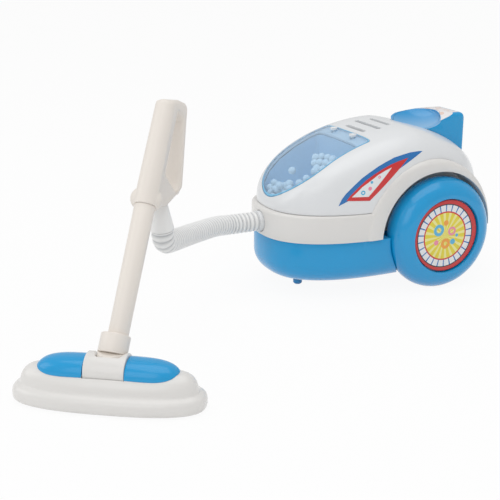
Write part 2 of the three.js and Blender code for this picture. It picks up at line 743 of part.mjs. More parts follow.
function skirtBand() {
  const foot = SEAM_HEIGHT + GAP;
  const outer = loft([
    bodyRing(0, foot), bodyRing(0, LEDGE_HEIGHT - LEDGE_ROUND),
    bodyRing(LEDGE_ROUND * 0.3, LEDGE_HEIGHT - LEDGE_ROUND * 0.3), bodyRing(LEDGE_ROUND, LEDGE_HEIGHT),
  ]);
  const inside = loft([bodyRing(BASE_WALL, foot - 1), bodyRing(BASE_WALL, LEDGE_HEIGHT - LEDGE_THICKNESS)]);
  const mouthInset = LEDGE_FRONT + DOME_WALL + 2;
  const mouth = loft([bodyRing(mouthInset, foot), bodyRing(mouthInset, LEDGE_HEIGHT + 1)]);
  const bossTop = SEAM_HEIGHT + BOSS_HEIGHT_ABOVE_SEAM;
  const bossRods = caseBosses.map((p) => common(rodZ(BOSS_RADIUS, foot, LEDGE_HEIGHT - 1, p.x, p.y), outer));
  const pilots = caseBosses.map((p) => rodZ(SCREW_RADIUS + GAP, foot - 1, bossTop, p.x, p.y, 8));
  const upperHalf = box(-FAR, FAR, -FAR, FAR, foot, FAR);
  const fenders = Object.values(SIDES).map((side) => (
    common(fenderBlock(side, 0, WELL_FACE - WELL_WALL), upperHalf)
  ));
  const band = join(cut(outer, inside, mouth), ...bossRods, ...fenders);
  return cut(band, ...pilots, hoseHole(), axleHole(), ...Object.values(SIDES).map(wellCut));
}

function windowOutline(inset, topInset) {
  const shape = new THREE.Shape();
  const half = WINDOW_HALF_WIDTH - inset;
  const top = -(WINDOW_TOP + topInset);
  const tip = -(WINDOW_TIP - inset);
  const shoulder = -WINDOW_SHOULDER;
  const corner = WINDOW_CORNER;
  const fullness = 0.6;
  shape.moveTo(-half + corner, top);
  shape.lineTo(half - corner, top);
  shape.quadraticCurveTo(half, top, half, top - corner);
  shape.lineTo(half, shoulder);
  shape.bezierCurveTo(half, shoulder + fullness * (tip - shoulder), fullness * half, tip, 0, tip);
  shape.bezierCurveTo(-fullness * half, tip, -half, shoulder + fullness * (tip - shoulder), -half, shoulder);
  shape.lineTo(-half, top - corner);
  shape.quadraticCurveTo(-half, top, -half + corner, top);
  return shape;
}

function windowPrism(inset, topInset = inset) {
  return prism(windowOutline(inset, topInset), LEDGE_HEIGHT, LEDGE_HEIGHT + 2 * DOME_HEIGHT, 5);
}

function ventSlot(index) {
  const half = VENT_HALF_LENGTH + (index === 1 ? VENT_MIDDLE_EXTRA : 0);
  const radius = VENT_WIDTH / 2;
  const y = -(VENT_FORWARD - index * VENT_PITCH);
  const shape = new THREE.Shape();
  shape.absarc(half - radius, y, radius, -Math.PI / 2, Math.PI / 2);
  shape.absarc(radius - half, y, radius, Math.PI / 2, 1.5 * Math.PI);
  return prism(shape, LEDGE_HEIGHT + DOME_HEIGHT / 2, LEDGE_HEIGHT + 2 * DOME_HEIGHT, 5);
}

function buttonPrism(grow, z0, z1) {
  return new THREE.CylinderGeometry(1, 1, z1 - z0, 24).rotateX(Math.PI / 2)
    .scale(BUTTON_HALF_WIDTH + grow, BUTTON_HALF_LENGTH + grow, 1)
    .translate(0, BUTTON_BACK, (z0 + z1) / 2);
}

const paneScrewPlaces = Object.entries(SIDES).map(([name, side]) => ({
  name,
  x: side * PANE_SCREW_SPACING / 2,
  y: -(WINDOW_TOP + WINDOW_TOP_LIP / 2),
}));
const paneScrewHole = ({ x, y }) => rodZ(SCREW_RADIUS + GAP, LEDGE_HEIGHT, FAR, x, y, 10);

function domeCover() {
  const rebate = cut(windowPrism(0), dome(-PANE_THICKNESS - GAP));
  return cut(
    dome(0), dome(-DOME_WALL, 2), rebate, windowPrism(WINDOW_LIP, WINDOW_TOP_LIP),
    ...[0, 1, 2].map(ventSlot), buttonPrism(RUN_GAP, LEDGE_HEIGHT + DOME_HEIGHT / 2, FAR), hoseHole(),
    ...Object.values(SIDES).map((side) => fenderBlock(side, GAP, WELL_FACE - WELL_WALL)),
    ...paneScrewPlaces.map(paneScrewHole),
  );
}

function windowPane() {
  const pane = cut(common(dome(0), windowPrism(GAP)), dome(-PANE_THICKNESS));
  return cut(pane, ...paneScrewPlaces.map(paneScrewHole));
}

// Height of the dome's outer surface on the middle plane.
function crestHeight(forward) {
  const reach = BODY_FRONT - LEDGE_FRONT - DOME_CREST;
  const share = (forward - DOME_CREST) / reach;
  const rise = DOME_HEIGHT * (1 - share ** DOME_FRONT_POWER) ** (1 / DOME_FRONT_FULLNESS);
  return LEDGE_HEIGHT + GAP + rise;
}

function beadTray() {
  const floor = LEDGE_HEIGHT + GAP;
  const inset = LEDGE_FRONT + DOME_WALL + 2 * GAP;
  const plate = common(
    loft([bodyRing(inset, floor), bodyRing(inset, floor + TRAY_WALL)]),
    box(-FAR, FAR, -FAR, -TRAY_BACK, 0, FAR),
  );
  const fenders = Object.values(SIDES).map((side) => fenderBlock(side, GAP, WELL_FACE - WELL_WALL));
  const ceiling = dome(-DOME_WALL - GAP);
  const wallOuter = prism(
    windowOutline(WINDOW_LIP - TRAY_WALL, WINDOW_TOP_LIP - TRAY_WALL), floor, floor + 2 * DOME_HEIGHT, 5,
  );
  const wallInner = prism(
    windowOutline(WINDOW_LIP, WINDOW_TOP_LIP), floor + TRAY_WALL, floor + 3 * DOME_HEIGHT, 5,
  );
  const back = -(WINDOW_TOP + WINDOW_TOP_LIP);
  const slots = Array.from({ length: TRAY_SLOTS }, (_, i) => {
    const x = (i - (TRAY_SLOTS - 1) / 2) * TRAY_SLOT_PITCH;
    return box(
      x - TRAY_SLOT_WIDTH / 2, x + TRAY_SLOT_WIDTH / 2, back - 1, back + TRAY_WALL + 1,
      floor + 3 * TRAY_WALL, floor + DOME_HEIGHT / 2,
    );
  });
  const hoop = common(wallOuter, join(ceiling, plate));
  return cut(join(plate, hoop), wallInner, ...slots, ...fenders);
}

// Foam beads lying in an arc along the tray's round front end.
function addBeads(group) {
  const rest = LEDGE_HEIGHT + GAP + TRAY_WALL + GAP + BEAD_RADIUS;
  const front = WINDOW_TIP - WINDOW_LIP - BEAD_RADIUS - 3;
  for (let i = 0; i < BEAD_COUNT; i += 1) {
    const share = (2 * i) / (BEAD_COUNT - 1) - 1;
    const bead = new THREE.IcosahedronGeometry(BEAD_RADIUS, 1)
      .translate(share * BEAD_SPREAD, -(front - BEAD_ARC_DEPTH * share * share), rest);
    addMesh(group, `foam_bead_${i + 1}`, bead, plastic(FOAM_WHITE, 0.8));
  }
}

// The tail handle's top line on the middle plane, from its nose to the start of its rear corner.
function tailTop() {
  return new THREE.QuadraticBezierCurve(
    new THREE.Vector2(-TAIL_FRONT, DOME_TOP + TAIL_FRONT_HEIGHT),
    new THREE.Vector2(BUTTON_BACK, DOME_TOP + TAIL_TOP_HEIGHT),
    new THREE.Vector2(TAIL_BACK - TAIL_CORNER, DOME_TOP + TAIL_BACK_HEIGHT),
  );
}

function tailOutline() {
  const top = tailTop();
  const foot = LEDGE_HEIGHT + TAIL_FOOT_HEIGHT;
  const shape = new THREE.Shape();
  shape.moveTo(top.v0.x, top.v0.y);
  shape.quadraticCurveTo(top.v1.x, top.v1.y, top.v2.x, top.v2.y);
  shape.quadraticCurveTo(TAIL_BACK, top.v2.y, TAIL_BACK, top.v2.y - TAIL_CORNER);
  shape.lineTo(TAIL_BACK, foot);
  shape.lineTo(TAIL_BACK - 2 * TAIL_CORNER, foot);
  shape.lineTo(-TAIL_FRONT - TAIL_ROUND, BUTTON_FOOT);
  return shape;
}

// Seen from above the nose is half an ellipse round the button, and the sides run straight back from it.
function tailPlan() {
  const shape = new THREE.Shape();
  shape.moveTo(-TAIL_HALF_WIDTH, TAIL_BACK + 1);
  shape.lineTo(TAIL_HALF_WIDTH, TAIL_BACK + 1);
  shape.lineTo(TAIL_HALF_WIDTH, BUTTON_BACK);
  shape.absellipse(0, BUTTON_BACK, TAIL_HALF_WIDTH, TAIL_FRONT + BUTTON_BACK, 0, -Math.PI, true);
  return shape;
}

function tailBlock() {
  return common(
    sideProfile(tailOutline(), TAIL_HALF_WIDTH, TAIL_ROUND),
    prism(tailPlan(), LEDGE_HEIGHT, FAR, 10),
  );
}

function tailHandle() {
  return cut(tailBlock(), dome(GAP, 10), buttonPrism(RUN_GAP, LEDGE_HEIGHT, FAR));
}

function powerButton() {
  const blank = common(buttonPrism(0, BUTTON_FOOT, FAR), tailBlock());
  const line = tailTop();
  const share = (BUTTON_BACK + TAIL_FRONT) / (line.v2.x + TAIL_FRONT);
  const ballDepth = 2 * BUTTON_DISH;
  const dish = new THREE.SphereGeometry(1, 16, 10)
    .scale(BUTTON_HALF_WIDTH, BUTTON_HALF_LENGTH, ballDepth)
    .translate(0, BUTTON_BACK, line.getPoint(share).y + ballDepth - BUTTON_DISH);
  const switchTop = SHELF_TOP + GAP + SWITCH_HEIGHT;
  const stemFoot = switchTop + PLUNGER_HEIGHT + BUTTON_TRAVEL + GAP;
  const stem = rodZ(STEM_RADIUS, stemFoot, BUTTON_FOOT + 1, 0, BUTTON_BACK);
  return join(cut(blank, dish), stem);
}

function switchBody() {
  const z = SHELF_TOP + GAP;
  const body = box(
    -SWITCH_WIDTH / 2, SWITCH_WIDTH / 2, BUTTON_BACK - SWITCH_LENGTH / 2, BUTTON_BACK + SWITCH_LENGTH / 2,
    z, z + SWITCH_HEIGHT,
  );
  const top = z + SWITCH_HEIGHT;
  return join(body, rodZ(STEM_RADIUS * 0.8, top - 1, top + PLUNGER_HEIGHT, 0, BUTTON_BACK));
}

function buttonSpring() {
  const foot = SHELF_TOP + 2 * GAP + SWITCH_HEIGHT + SPRING_WIRE;
  const height = BUTTON_FOOT - GAP - SPRING_WIRE - foot;
  const spring = coil(SPRING_RADIUS, SPRING_RADIUS, height, SPRING_TURNS, SPRING_WIRE);
  return spring.translate(0, BUTTON_BACK, foot);
}

const FRAME_BACK = MOTOR_LENGTH - MOTOR_FRONT + GAP;

function motorFrame() {
  const floor = BASE_CLEARANCE + BASE_WALL + GAP;
  const back = FRAME_BACK;
  const armTop = MOTOR_AXIS - MOTOR_RADIUS / 2;
  const armFoot = MOTOR_AXIS - MOTOR_RADIUS - FRAME_WALL;
  const wall = FRAME_WALL;
  const shape = new THREE.Shape();
  shape.moveTo(back + wall, floor);
  shape.lineTo(back + wall, SHELF_TOP);
  shape.lineTo(BUTTON_BACK - SWITCH_LENGTH / 2, SHELF_TOP);
  shape.lineTo(BUTTON_BACK - SWITCH_LENGTH / 2, SHELF_TOP - wall);
  shape.lineTo(back, SHELF_TOP - wall);
  shape.lineTo(back, armTop);
  shape.lineTo(-MOTOR_FRONT + wall, armTop);
  shape.lineTo(-MOTOR_FRONT + wall, armFoot);
  shape.lineTo(back, armFoot);
  shape.lineTo(back, floor + wall);
  shape.lineTo(back - FRAME_FOOT, floor + wall);
  shape.lineTo(back - FRAME_FOOT, floor);
  const saddle = rodY(MOTOR_RADIUS + GAP, -FAR, back, 0, MOTOR_AXIS, 28);
  return cut(sideProfile(shape, FRAME_HALF_WIDTH, 0), saddle);
}

function motor() {
  const y0 = -MOTOR_FRONT;
  const y1 = MOTOR_LENGTH - MOTOR_FRONT;
  const can = common(
    rodY(MOTOR_RADIUS, y0, y1, 0, MOTOR_AXIS, 28),
    box(-MOTOR_FLAT, MOTOR_FLAT, y0 - 1, y1 + 1, 0, FAR),
  );
  const boss = rodY(MOTOR_BOSS_RADIUS, y0 - MOTOR_BOSS, y0 + 1, 0, MOTOR_AXIS, 16);
  return join(can, boss, rodY(SHAFT_RADIUS, y0 - SHAFT_LENGTH, y0, 0, MOTOR_AXIS, 12));
}

const FAN_BACK_FACE = -MOTOR_FRONT - MOTOR_BOSS - GAP;

function impeller() {
  const hub = rodY(FAN_HUB_RADIUS, FAN_BACK_FACE - FAN_DEPTH, FAN_BACK_FACE, 0, 0, 20);
  const blades = Array.from({ length: FAN_BLADES }, (_, i) => {
    const length = FAN_RADIUS - FAN_HUB_RADIUS + 1;
    return new THREE.BoxGeometry(length, 1, FAN_DEPTH)
      .rotateX(FAN_PITCH * DEGREE)
      .translate(FAN_HUB_RADIUS - 1 + length / 2, FAN_BACK_FACE - FAN_DEPTH / 2, 0)
      .rotateY((i / FAN_BLADES) * 2 * Math.PI);
  });
  const bore = rodY(SHAFT_RADIUS + GAP, FAN_BACK_FACE - FAN_DEPTH - 1, FAN_BACK_FACE + 1, 0, 0, 12);
  return cut(join(hub, ...blades), bore).translate(0, 0, MOTOR_AXIS);
}

const HUB_FLOOR = 2 * TYRE_ROUND - HUB_SINK - HUB_THICKNESS - GAP;
const NUT_FLOOR = HUB_FLOOR - NUT_THICKNESS - 2 * GAP;

// Wheel profile from its inner face outwards along the axle.
function wheelProfile() {
  const bore = AXLE_RADIUS + GAP;
  const shoulder = WHEEL_RADIUS - TYRE_ROUND;
  const arcSteps = 8;
  const profile = [[bore, 1], [shoulder - 4, 1]];
  for (let k = 0; k <= arcSteps; k += 1) {
    const angle = (k / arcSteps - 0.5) * Math.PI;
    profile.push([shoulder + TYRE_ROUND * Math.cos(angle), TYRE_ROUND + TYRE_ROUND * Math.sin(angle)]);
  }
  const recess = HUB_RADIUS + HUB_RIM_GAP;
  const pocket = NUT_RADIUS + GAP;
  profile.push(
    [recess, 2 * TYRE_ROUND - 0.4], [recess, HUB_FLOOR], [pocket, HUB_FLOOR],
    [pocket, NUT_FLOOR], [bore, NUT_FLOOR], [bore, 1],
  );
  return profile;
}

function addWheels(group) {
  const hubBack = HUB_FLOOR + GAP;
  const hubFace = hubBack + HUB_THICKNESS;
  const hub = [
    [0, hubBack], [HUB_RADIUS, hubBack], [HUB_RADIUS, hubFace - 0.4],
    [HUB_RADIUS - 0.4, hubFace], [0, hubFace],
  ];
  const nutBack = NUT_FLOOR + GAP;
  const nutBore = AXLE_RADIUS + GAP;
  const nut = [
    [nutBore, nutBack], [NUT_RADIUS, nutBack], [NUT_RADIUS, nutBack + 0.8],
    [nutBore + 1, nutBack + NUT_THICKNESS], [nutBore, nutBack + NUT_THICKNESS], [nutBore, nutBack],
  ];
  for (const [name, side] of Object.entries(SIDES)) {
    const onAxle = (geometry) => geometry.translate(0, 0, WHEEL_INNER_FACE).rotateY(side * Math.PI / 2)
      .translate(0, 0, AXLE_HEIGHT);
    addMesh(group, `wheel_${name}`, onAxle(revolve(wheelProfile(), 28)), plastic(BLUE, 0.22));
    addMesh(group, `hub_disc_${name}`, onAxle(revolve(hub, 32)), plastic(WHITE, 0.3));
    addMesh(group, `axle_nut_${name}`, onAxle(revolve(nut, 12)), metal(STEEL));
  }
  const end = WHEEL_INNER_FACE + nutBack + NUT_THICKNESS;
  addMesh(group, 'axle', rodX(AXLE_RADIUS, -end, end, 0, AXLE_HEIGHT, 16), metal(STEEL));
}

function hoseInlet() {
  const face = -(BODY_FRONT + INLET_REACH);
  const wallBack = -(BODY_FRONT - BASE_WALL) + 3 * GAP;
  const end = wallBack + INLET_FLANGE_THICKNESS;
  const barrel = rodY(INLET_RADIUS, face, end, 0, INLET_AXIS);
  const flange = box(
    -INLET_FLANGE, INLET_FLANGE, wallBack, end,
    SEAM_HEIGHT + 2 * GAP, LEDGE_HEIGHT - LEDGE_THICKNESS - GAP,
  );
  return cut(join(barrel, flange), rodY(INLET_BORE, face - 1, end + 1, 0, INLET_AXIS));
}

function frontFoot() {
  const seat = BASE_CLEARANCE - GAP;
  const stemTop = BASE_CLEARANCE + BASE_WALL + FOOT_STEM_REACH;
  return revolve([
    [0, 0], [FOOT_RADIUS - 0.9, 0], [FOOT_RADIUS - 0.3, 0.7], [FOOT_RADIUS, seat],
    [FOOT_STEM_RADIUS, seat], [FOOT_STEM_RADIUS, stemTop], [0, stemTop],
  ], 16).translate(0, -FOOT_FORWARD, 0);
}

function addCaseScrews(group) {
  const head = SEAM_HEIGHT - SCREW_HEAD_DEPTH;
  const shank = SCREW_HEAD_DEPTH - SCREW_HEAD + BOSS_HEIGHT_ABOVE_SEAM - 2;
  caseBosses.forEach((place, i) => {
    addMesh(group, `case_screw_${i + 1}`, screw(head, shank).translate(place.x, place.y, 0), metal(STEEL));
  });
  const doorFace = BASE_CLEARANCE + BASE_WALL - GAP - DOOR_THICKNESS;
  const doorScrew = screw(doorFace - SCREW_HEAD - GAP, 6).translate(0, -LUG_FORWARD, 0);
  addMesh(group, 'battery_door_screw', doorScrew, metal(STEEL));
  for (const { name, x, y } of paneScrewPlaces) {
    const seat = crestHeight(-y) + GAP;
    const head = screw(0, 3.2).scale(0.8, 0.8, 0.6).rotateX(Math.PI).translate(x, y, seat + SCREW_HEAD * 0.6);
    addMesh(group, `window_screw_${name}`, head, metal(STEEL));
  }
}

function makeCanister() {
  const canister = new THREE.Group();
  addMesh(canister, 'base_shell', baseShell(), plastic(BLUE));
  addMesh(canister, 'battery_door', batteryDoor(), plastic(BLUE));
  addBatteries(canister);
  addMesh(canister, 'skirt_band', skirtBand(), plastic(IVORY));
  addMesh(canister, 'dome_cover', domeCover(), plastic(WHITE));
  addMesh(canister, 'window_pane', windowPane(), new THREE.MeshStandardMaterial({
    color: PALE_BLUE, roughness: 0.05, metalness: 0, transparent: true, opacity: 0.3,
  }));
  addMesh(canister, 'bead_tray', beadTray(), plastic(PALE_BLUE));
  addBeads(canister);
  addMesh(canister, 'tail_handle', tailHandle(), plastic(BLUE));
  addMesh(canister, 'power_button', powerButton(), plastic(BLUE, 0.2));
  addMesh(canister, 'button_spring', buttonSpring(), metal(STEEL));
  addMesh(canister, 'switch_body', switchBody(), plastic(BLACK));
  addMesh(canister, 'motor_frame', motorFrame(), plastic(WHITE));
  addMesh(canister, 'motor', motor(), metal(STEEL));
  addMesh(canister, 'impeller', impeller(), plastic(WHITE));
  addWheels(canister);
  addMesh(canister, 'front_foot', frontFoot(), plastic(BLUE));
  addMesh(canister, 'hose_inlet', hoseInlet(), plastic(WHITE));
  addCaseScrews(canister);
  addMarker(canister, 'axis_axle', 0, 0, AXLE_HEIGHT);
  addMarker(canister, 'axis_fan', 0, FAN_BACK_FACE, MOTOR_AXIS);
  addMarker(canister, 'axis_button', 0, BUTTON_BACK, BUTTON_FOOT);
  addMarker(canister, 'axis_hose', 0, -(BODY_FRONT + INLET_REACH), INLET_AXIS);
  return canister;
}

function headRing(inset, z) {
  return superEllipseRing(HEAD_HALF_LENGTH - inset, HEAD_HALF_DEPTH - inset, HEAD_POWER, z);
}

// Rings of one rounded step of the head, from its foot to its top edge.
function headStep(inset, foot, top, round) {
  const steps = 3;
  const rings = [];
  for (let k = 0; k <= steps; k += 1) {
    const turn = (k / steps) * Math.PI / 2;
    rings.push(headRing(inset + round * (1 - Math.cos(turn)), top - round * (1 - Math.sin(turn))));
  }
  return [headRing(inset, foot), ...rings];
}

// The head's outer form, grown by a distance all over.
function headForm(grow) {
  const stepInset = HEAD_FLANGE_STEP + HEAD_STEP_LEDGE - grow;
  const flangeTop = HEAD_FLANGE_HEIGHT + grow;
  return loft([
    headRing(1.6 - grow, HEAD_LIFT - grow),
    ...headStep(-grow, HEAD_LIFT + 1.8, flangeTop, HEAD_FLANGE_STEP),
    ...headStep(stepInset, flangeTop + HEAD_STEP_LEDGE, HEAD_TOP + grow, HEAD_TOP_ROUND),
  ]);
}

function headShell() {
  const roof = HEAD_TOP - HEAD_ROOF;
  const upperInset = HEAD_FLANGE_STEP + HEAD_WALL;
  const inside = loft([
    headRing(HEAD_WALL, -1), headRing(HEAD_WALL, SOLE_THICKNESS + GAP),
    headRing(HEAD_WALL + 1, HEAD_FLANGE_HEIGHT - 1),
    headRing(upperInset, roof - HEAD_ROOF), headRing(upperInset + HEAD_TOP_ROUND / 2, roof),
  ]);
  const room = DRUM_RADIUS + RUN_GAP;
  const doorway = box(-CAP_START, CAP_START, -room, room, TILT_HEIGHT - room, HEAD_TOP + 1);
  const pinBlocks = Object.values(SIDES).map((side) => {
    const near = side * (CAP_START + GAP);
    const far = side * (TILT_PIN_LENGTH / 2 + 1);
    return box(Math.min(near, far), Math.max(near, far), -3.5, 3.5, TILT_HEIGHT - 4, roof + 0.5);
  });
  const posts = Object.values(SIDES).map((side) => (
    rodZ(HEAD_POST_RADIUS, SOLE_THICKNESS + GAP, roof + 0.5, side * HEAD_SCREW_SPACING / 2, 0)
  ));
  const pilotTop = SOLE_SCREW_SINK + SOLE_SCREW_HEAD + SOLE_SCREW_SHANK + 2 * GAP;
  const pilots = Object.values(SIDES).map((side) => (
    rodZ(SCREW_RADIUS + GAP, 0, pilotTop, side * HEAD_SCREW_SPACING / 2, 0, 12)
  ));
  const pinReach = TILT_PIN_LENGTH / 2 + GAP;
  const pinHole = rodX(PIN_RADIUS + GAP, -pinReach, pinReach, 0, TILT_HEIGHT, 14);
  const shell = join(cut(headForm(0), inside), ...pinBlocks, ...posts);
  return cut(shell, doorway, pinHole, ...pilots);
}

function headSole() {
  const inset = HEAD_WALL + GAP;
  const plate = loft([headRing(inset + 0.6, 0), headRing(inset, 0.6), headRing(inset, SOLE_THICKNESS)]);
  const groove = new THREE.Shape();
  const half = SOLE_GROOVE_LENGTH / 2;
  const radius = SOLE_GROOVE_WIDTH / 2;
  groove.absarc(half - radius, 0, radius, -Math.PI / 2, Math.PI / 2);
  groove.absarc(radius - half, 0, radius, Math.PI / 2, 1.5 * Math.PI);
  const holes = Object.values(SIDES).flatMap((side) => [
    rodZ(SCREW_RADIUS + GAP, -1, SOLE_THICKNESS + 1, side * HEAD_SCREW_SPACING / 2, 0, 12),
    rodZ(
      SOLE_SCREW_RADIUS + GAP, -1, SOLE_SCREW_SINK + SOLE_SCREW_HEAD + GAP, side * HEAD_SCREW_SPACING / 2, 0, 14,
    ),
  ]);
  return cut(plate, prism(groove, -1, SOLE_GROOVE_DEPTH), ...holes);
}

function headCap(side) {
  const base = HEAD_TOP + GAP - CAP_SKIRT;
  const height = CAP_HEIGHT + CAP_SKIRT;
  const stations = 8;
  const span = 10;
  const power = 2.3;
  const endPower = 5;
  const endFullness = 2.2;
  const rings = [];
  for (let k = 0; k < stations; k += 1) {
    const x = CAP_START + (CAP_END - CAP_START) * Math.sin((k / stations) * Math.PI / 2);
    const share = (1 - (x / CAP_END) ** endPower) ** (1 / endFullness);
    rings.push(Array.from({ length: span + 1 }, (_, i) => {
      const angle = (i / span) * Math.PI;
      const across = CAP_HALF_WIDTH * share * signedPower(Math.cos(angle), 2 / power);
      const up = i % span ? height * share * Math.sin(angle) ** (2 / power) : 0;
      return new THREE.Vector3(side * x, across, base + up);
    }));
  }
  const blank = loft(rings, middleOf(rings[0]), new THREE.Vector3(side * CAP_END, 0, base));
  return cut(blank, headForm(GAP));
}

function soleScrew() {
  const foot = SOLE_SCREW_SINK;
  const neck = foot + SOLE_SCREW_HEAD;
  const tip = neck + SOLE_SCREW_SHANK;
  return revolve([
    [0, foot], [SOLE_SCREW_RADIUS, foot], [SOLE_SCREW_RADIUS, neck], [SCREW_RADIUS, neck],
    [SCREW_RADIUS, tip], [0, tip],
  ], 12);
}

function makeHead() {
  const head = new THREE.Group();
  addMesh(head, 'head_shell', headShell(), plastic(IVORY));
  addMesh(head, 'head_sole', headSole(), plastic(WHITE));
  for (const [name, side] of Object.entries(SIDES)) {
    addMesh(head, `head_cap_${name}`, headCap(-side), plastic(BLUE));
    const x = -side * HEAD_SCREW_SPACING / 2;
    addMesh(head, `head_screw_${name}`, soleScrew().translate(x, 0, 0), metal(STEEL));
  }
  const pin = rodX(PIN_RADIUS, -TILT_PIN_LENGTH / 2, TILT_PIN_LENGTH / 2, 0, TILT_HEIGHT, 14);
  addMesh(head, 'tilt_pin', pin, metal(STEEL));
  addMarker(head, 'axis_tilt', 0, 0, TILT_HEIGHT);
  addMarker(head, 'axis_tilt_end', 1, 0, TILT_HEIGHT);
  addMarker(head, 'head_front', 0, -1, 0);
  return head;
}

// The drum turns about the head's long axis, which is X here.
function neckDrum() {
  const half = CAP_START - GAP;
  const seat = LEAN_PIN_HEIGHT - SEAT_DROP;
  const seatHalf = COLLAR_RADIUS + RUN_GAP;
  const drum = cut(
    rodX(DRUM_RADIUS, -half, half, 0, 0, 32),
    box(NECK_SHIFT - seatHalf, NECK_SHIFT + seatHalf, -FAR, FAR, seat, FAR),
  );
  const tongueSide = box(
    NECK_SHIFT - TONGUE_HALF_WIDTH, NECK_SHIFT + TONGUE_HALF_WIDTH,
    -TONGUE_HALF_THICKNESS, TONGUE_HALF_THICKNESS, 0, LEAN_PIN_HEIGHT,
  );
  const tongueEnd = rodY(
    TONGUE_HALF_WIDTH, -TONGUE_HALF_THICKNESS, TONGUE_HALF_THICKNESS, NECK_SHIFT, LEAN_PIN_HEIGHT, 20,
  );
  const tiltBore = rodX(PIN_RADIUS + GAP, -half - 1, half + 1, 0, 0, 14);
  const leanBore = rodY(PIN_RADIUS + GAP, -DRUM_RADIUS, DRUM_RADIUS, NECK_SHIFT, LEAN_PIN_HEIGHT, 14);
  return cut(join(drum, tongueSide, tongueEnd), tiltBore, leanBore);
}

function neckCollar() {
  const foot = -COLLAR_BELOW_PIN;
  const top = foot + COLLAR_LENGTH;
  const barrel = revolve([
    [0, foot], [COLLAR_RADIUS - COLLAR_CHAMFER, foot], [COLLAR_RADIUS, foot + COLLAR_CHAMFER],
    [COLLAR_RADIUS, top - COLLAR_EDGE], [COLLAR_RADIUS - COLLAR_EDGE, top], [0, top],
  ], 20);
  const pocket = box(
    -POCKET_HALF_WIDTH, POCKET_HALF_WIDTH, -TONGUE_HALF_THICKNESS - GAP, TONGUE_HALF_THICKNESS + GAP,
    foot - 1, TONGUE_HALF_WIDTH + 2 * GAP,
  );
  const socket = rodZ(TUBE_FOOT_RADIUS + GAP, top - SOCKET_DEPTH, top + 1, 0, 0, 28);
  const pinHole = rodY(PIN_RADIUS + GAP, COLLAR_CHAMFER - COLLAR_RADIUS, COLLAR_RADIUS + 1, 0, 0, 14);
  return cut(barrel, pocket, socket, pinHole);
}

function wandTube() {
  const foot = COLLAR_LENGTH - COLLAR_BELOW_PIN - SOCKET_DEPTH + GAP;
  const bore = TUBE_SPIGOT_RADIUS - TUBE_WALL;
  return revolve([
    [bore, foot], [TUBE_FOOT_RADIUS, foot], [TUBE_TOP_RADIUS, TUBE_TOP], [TUBE_SPIGOT_RADIUS, TUBE_TOP],
    [TUBE_SPIGOT_RADIUS, TUBE_TOP + TUBE_SPIGOT], [bore, TUBE_TOP + TUBE_SPIGOT], [bore, foot],
  ], 20);
}

// The loop's outline behind the front leg: over the top, down the back and along the lower bar.
function loopOutline() {
  const foot = HANDLE_FOOT;
  const top = HANDLE_TOP;
  const crown = top + LOOP_CROWN_RISE;
  const turn = top - LOOP_BACK_DROP - LOOP_TURN;
  const shape = new THREE.Shape();
  shape.moveTo(0, foot + 0.4);
  shape.lineTo(0, top);
  shape.lineTo(LOOP_CROWN_DEPTH, crown);
  shape.quadraticCurveTo(LOOP_CORNER_DEPTH - 1, crown + 0.6, LOOP_CORNER_DEPTH, top - LOOP_CORNER_DROP);
  shape.lineTo(LOOP_DEPTH, top - LOOP_BACK_DROP);
  shape.quadraticCurveTo(LOOP_DEPTH + 0.4, turn + 0.6, LOOP_DEPTH - 1, turn - 1);
  shape.lineTo(LOOP_BAR_DEPTH, foot + LOOP_BAR_RISE);
  shape.lineTo(LOOP_STRUT_DEPTH, foot + LOOP_STRUT_RISE);
  shape.lineTo(LEG_FOOT_RADIUS, foot + 0.4);
  return shape;
}

function loopHole() {
  const foot = HANDLE_FOOT;
  const rim = HANDLE_TOP - LOOP_RIM;
  const start = LEG_FOOT_RADIUS + HOLE_START;
  const backTop = LOOP_CORNER_DEPTH - LOOP_BACK_BAR;
  const backFoot = LOOP_DEPTH - LOOP_BACK_BAR;
  const hole = new THREE.Shape();
  hole.moveTo(start, rim);
  hole.lineTo(start, foot + HOLE_FOOT_RISE);
  hole.lineTo(HOLE_BAR_DEPTH, foot + HOLE_BAR_RISE);
  hole.quadraticCurveTo(
    backFoot, foot + HOLE_BAR_RISE, backFoot - 0.3, HANDLE_TOP - LOOP_BACK_DROP + 1,
  );
  hole.lineTo(backTop + 0.6, rim - 2);
  hole.quadraticCurveTo(backTop, rim, backTop - 2, rim);
  return hole;
}

// Where the branch starts on the loop's lower bar, and which way it points.
const branchRoot = new THREE.Vector3(0, BRANCH_BACK, HANDLE_FOOT + BRANCH_HEIGHT);
const branchDirection = new THREE.Vector3(0, Math.cos(SPIGOT_DROP * DEGREE), -Math.sin(SPIGOT_DROP * DEGREE));

// Places a geometry that runs along Z onto the branch that the hose leaves by.
function onBranch(geometry) {
  return geometry.rotateX(-Math.PI / 2 - SPIGOT_DROP * DEGREE).translate(...branchRoot);
}

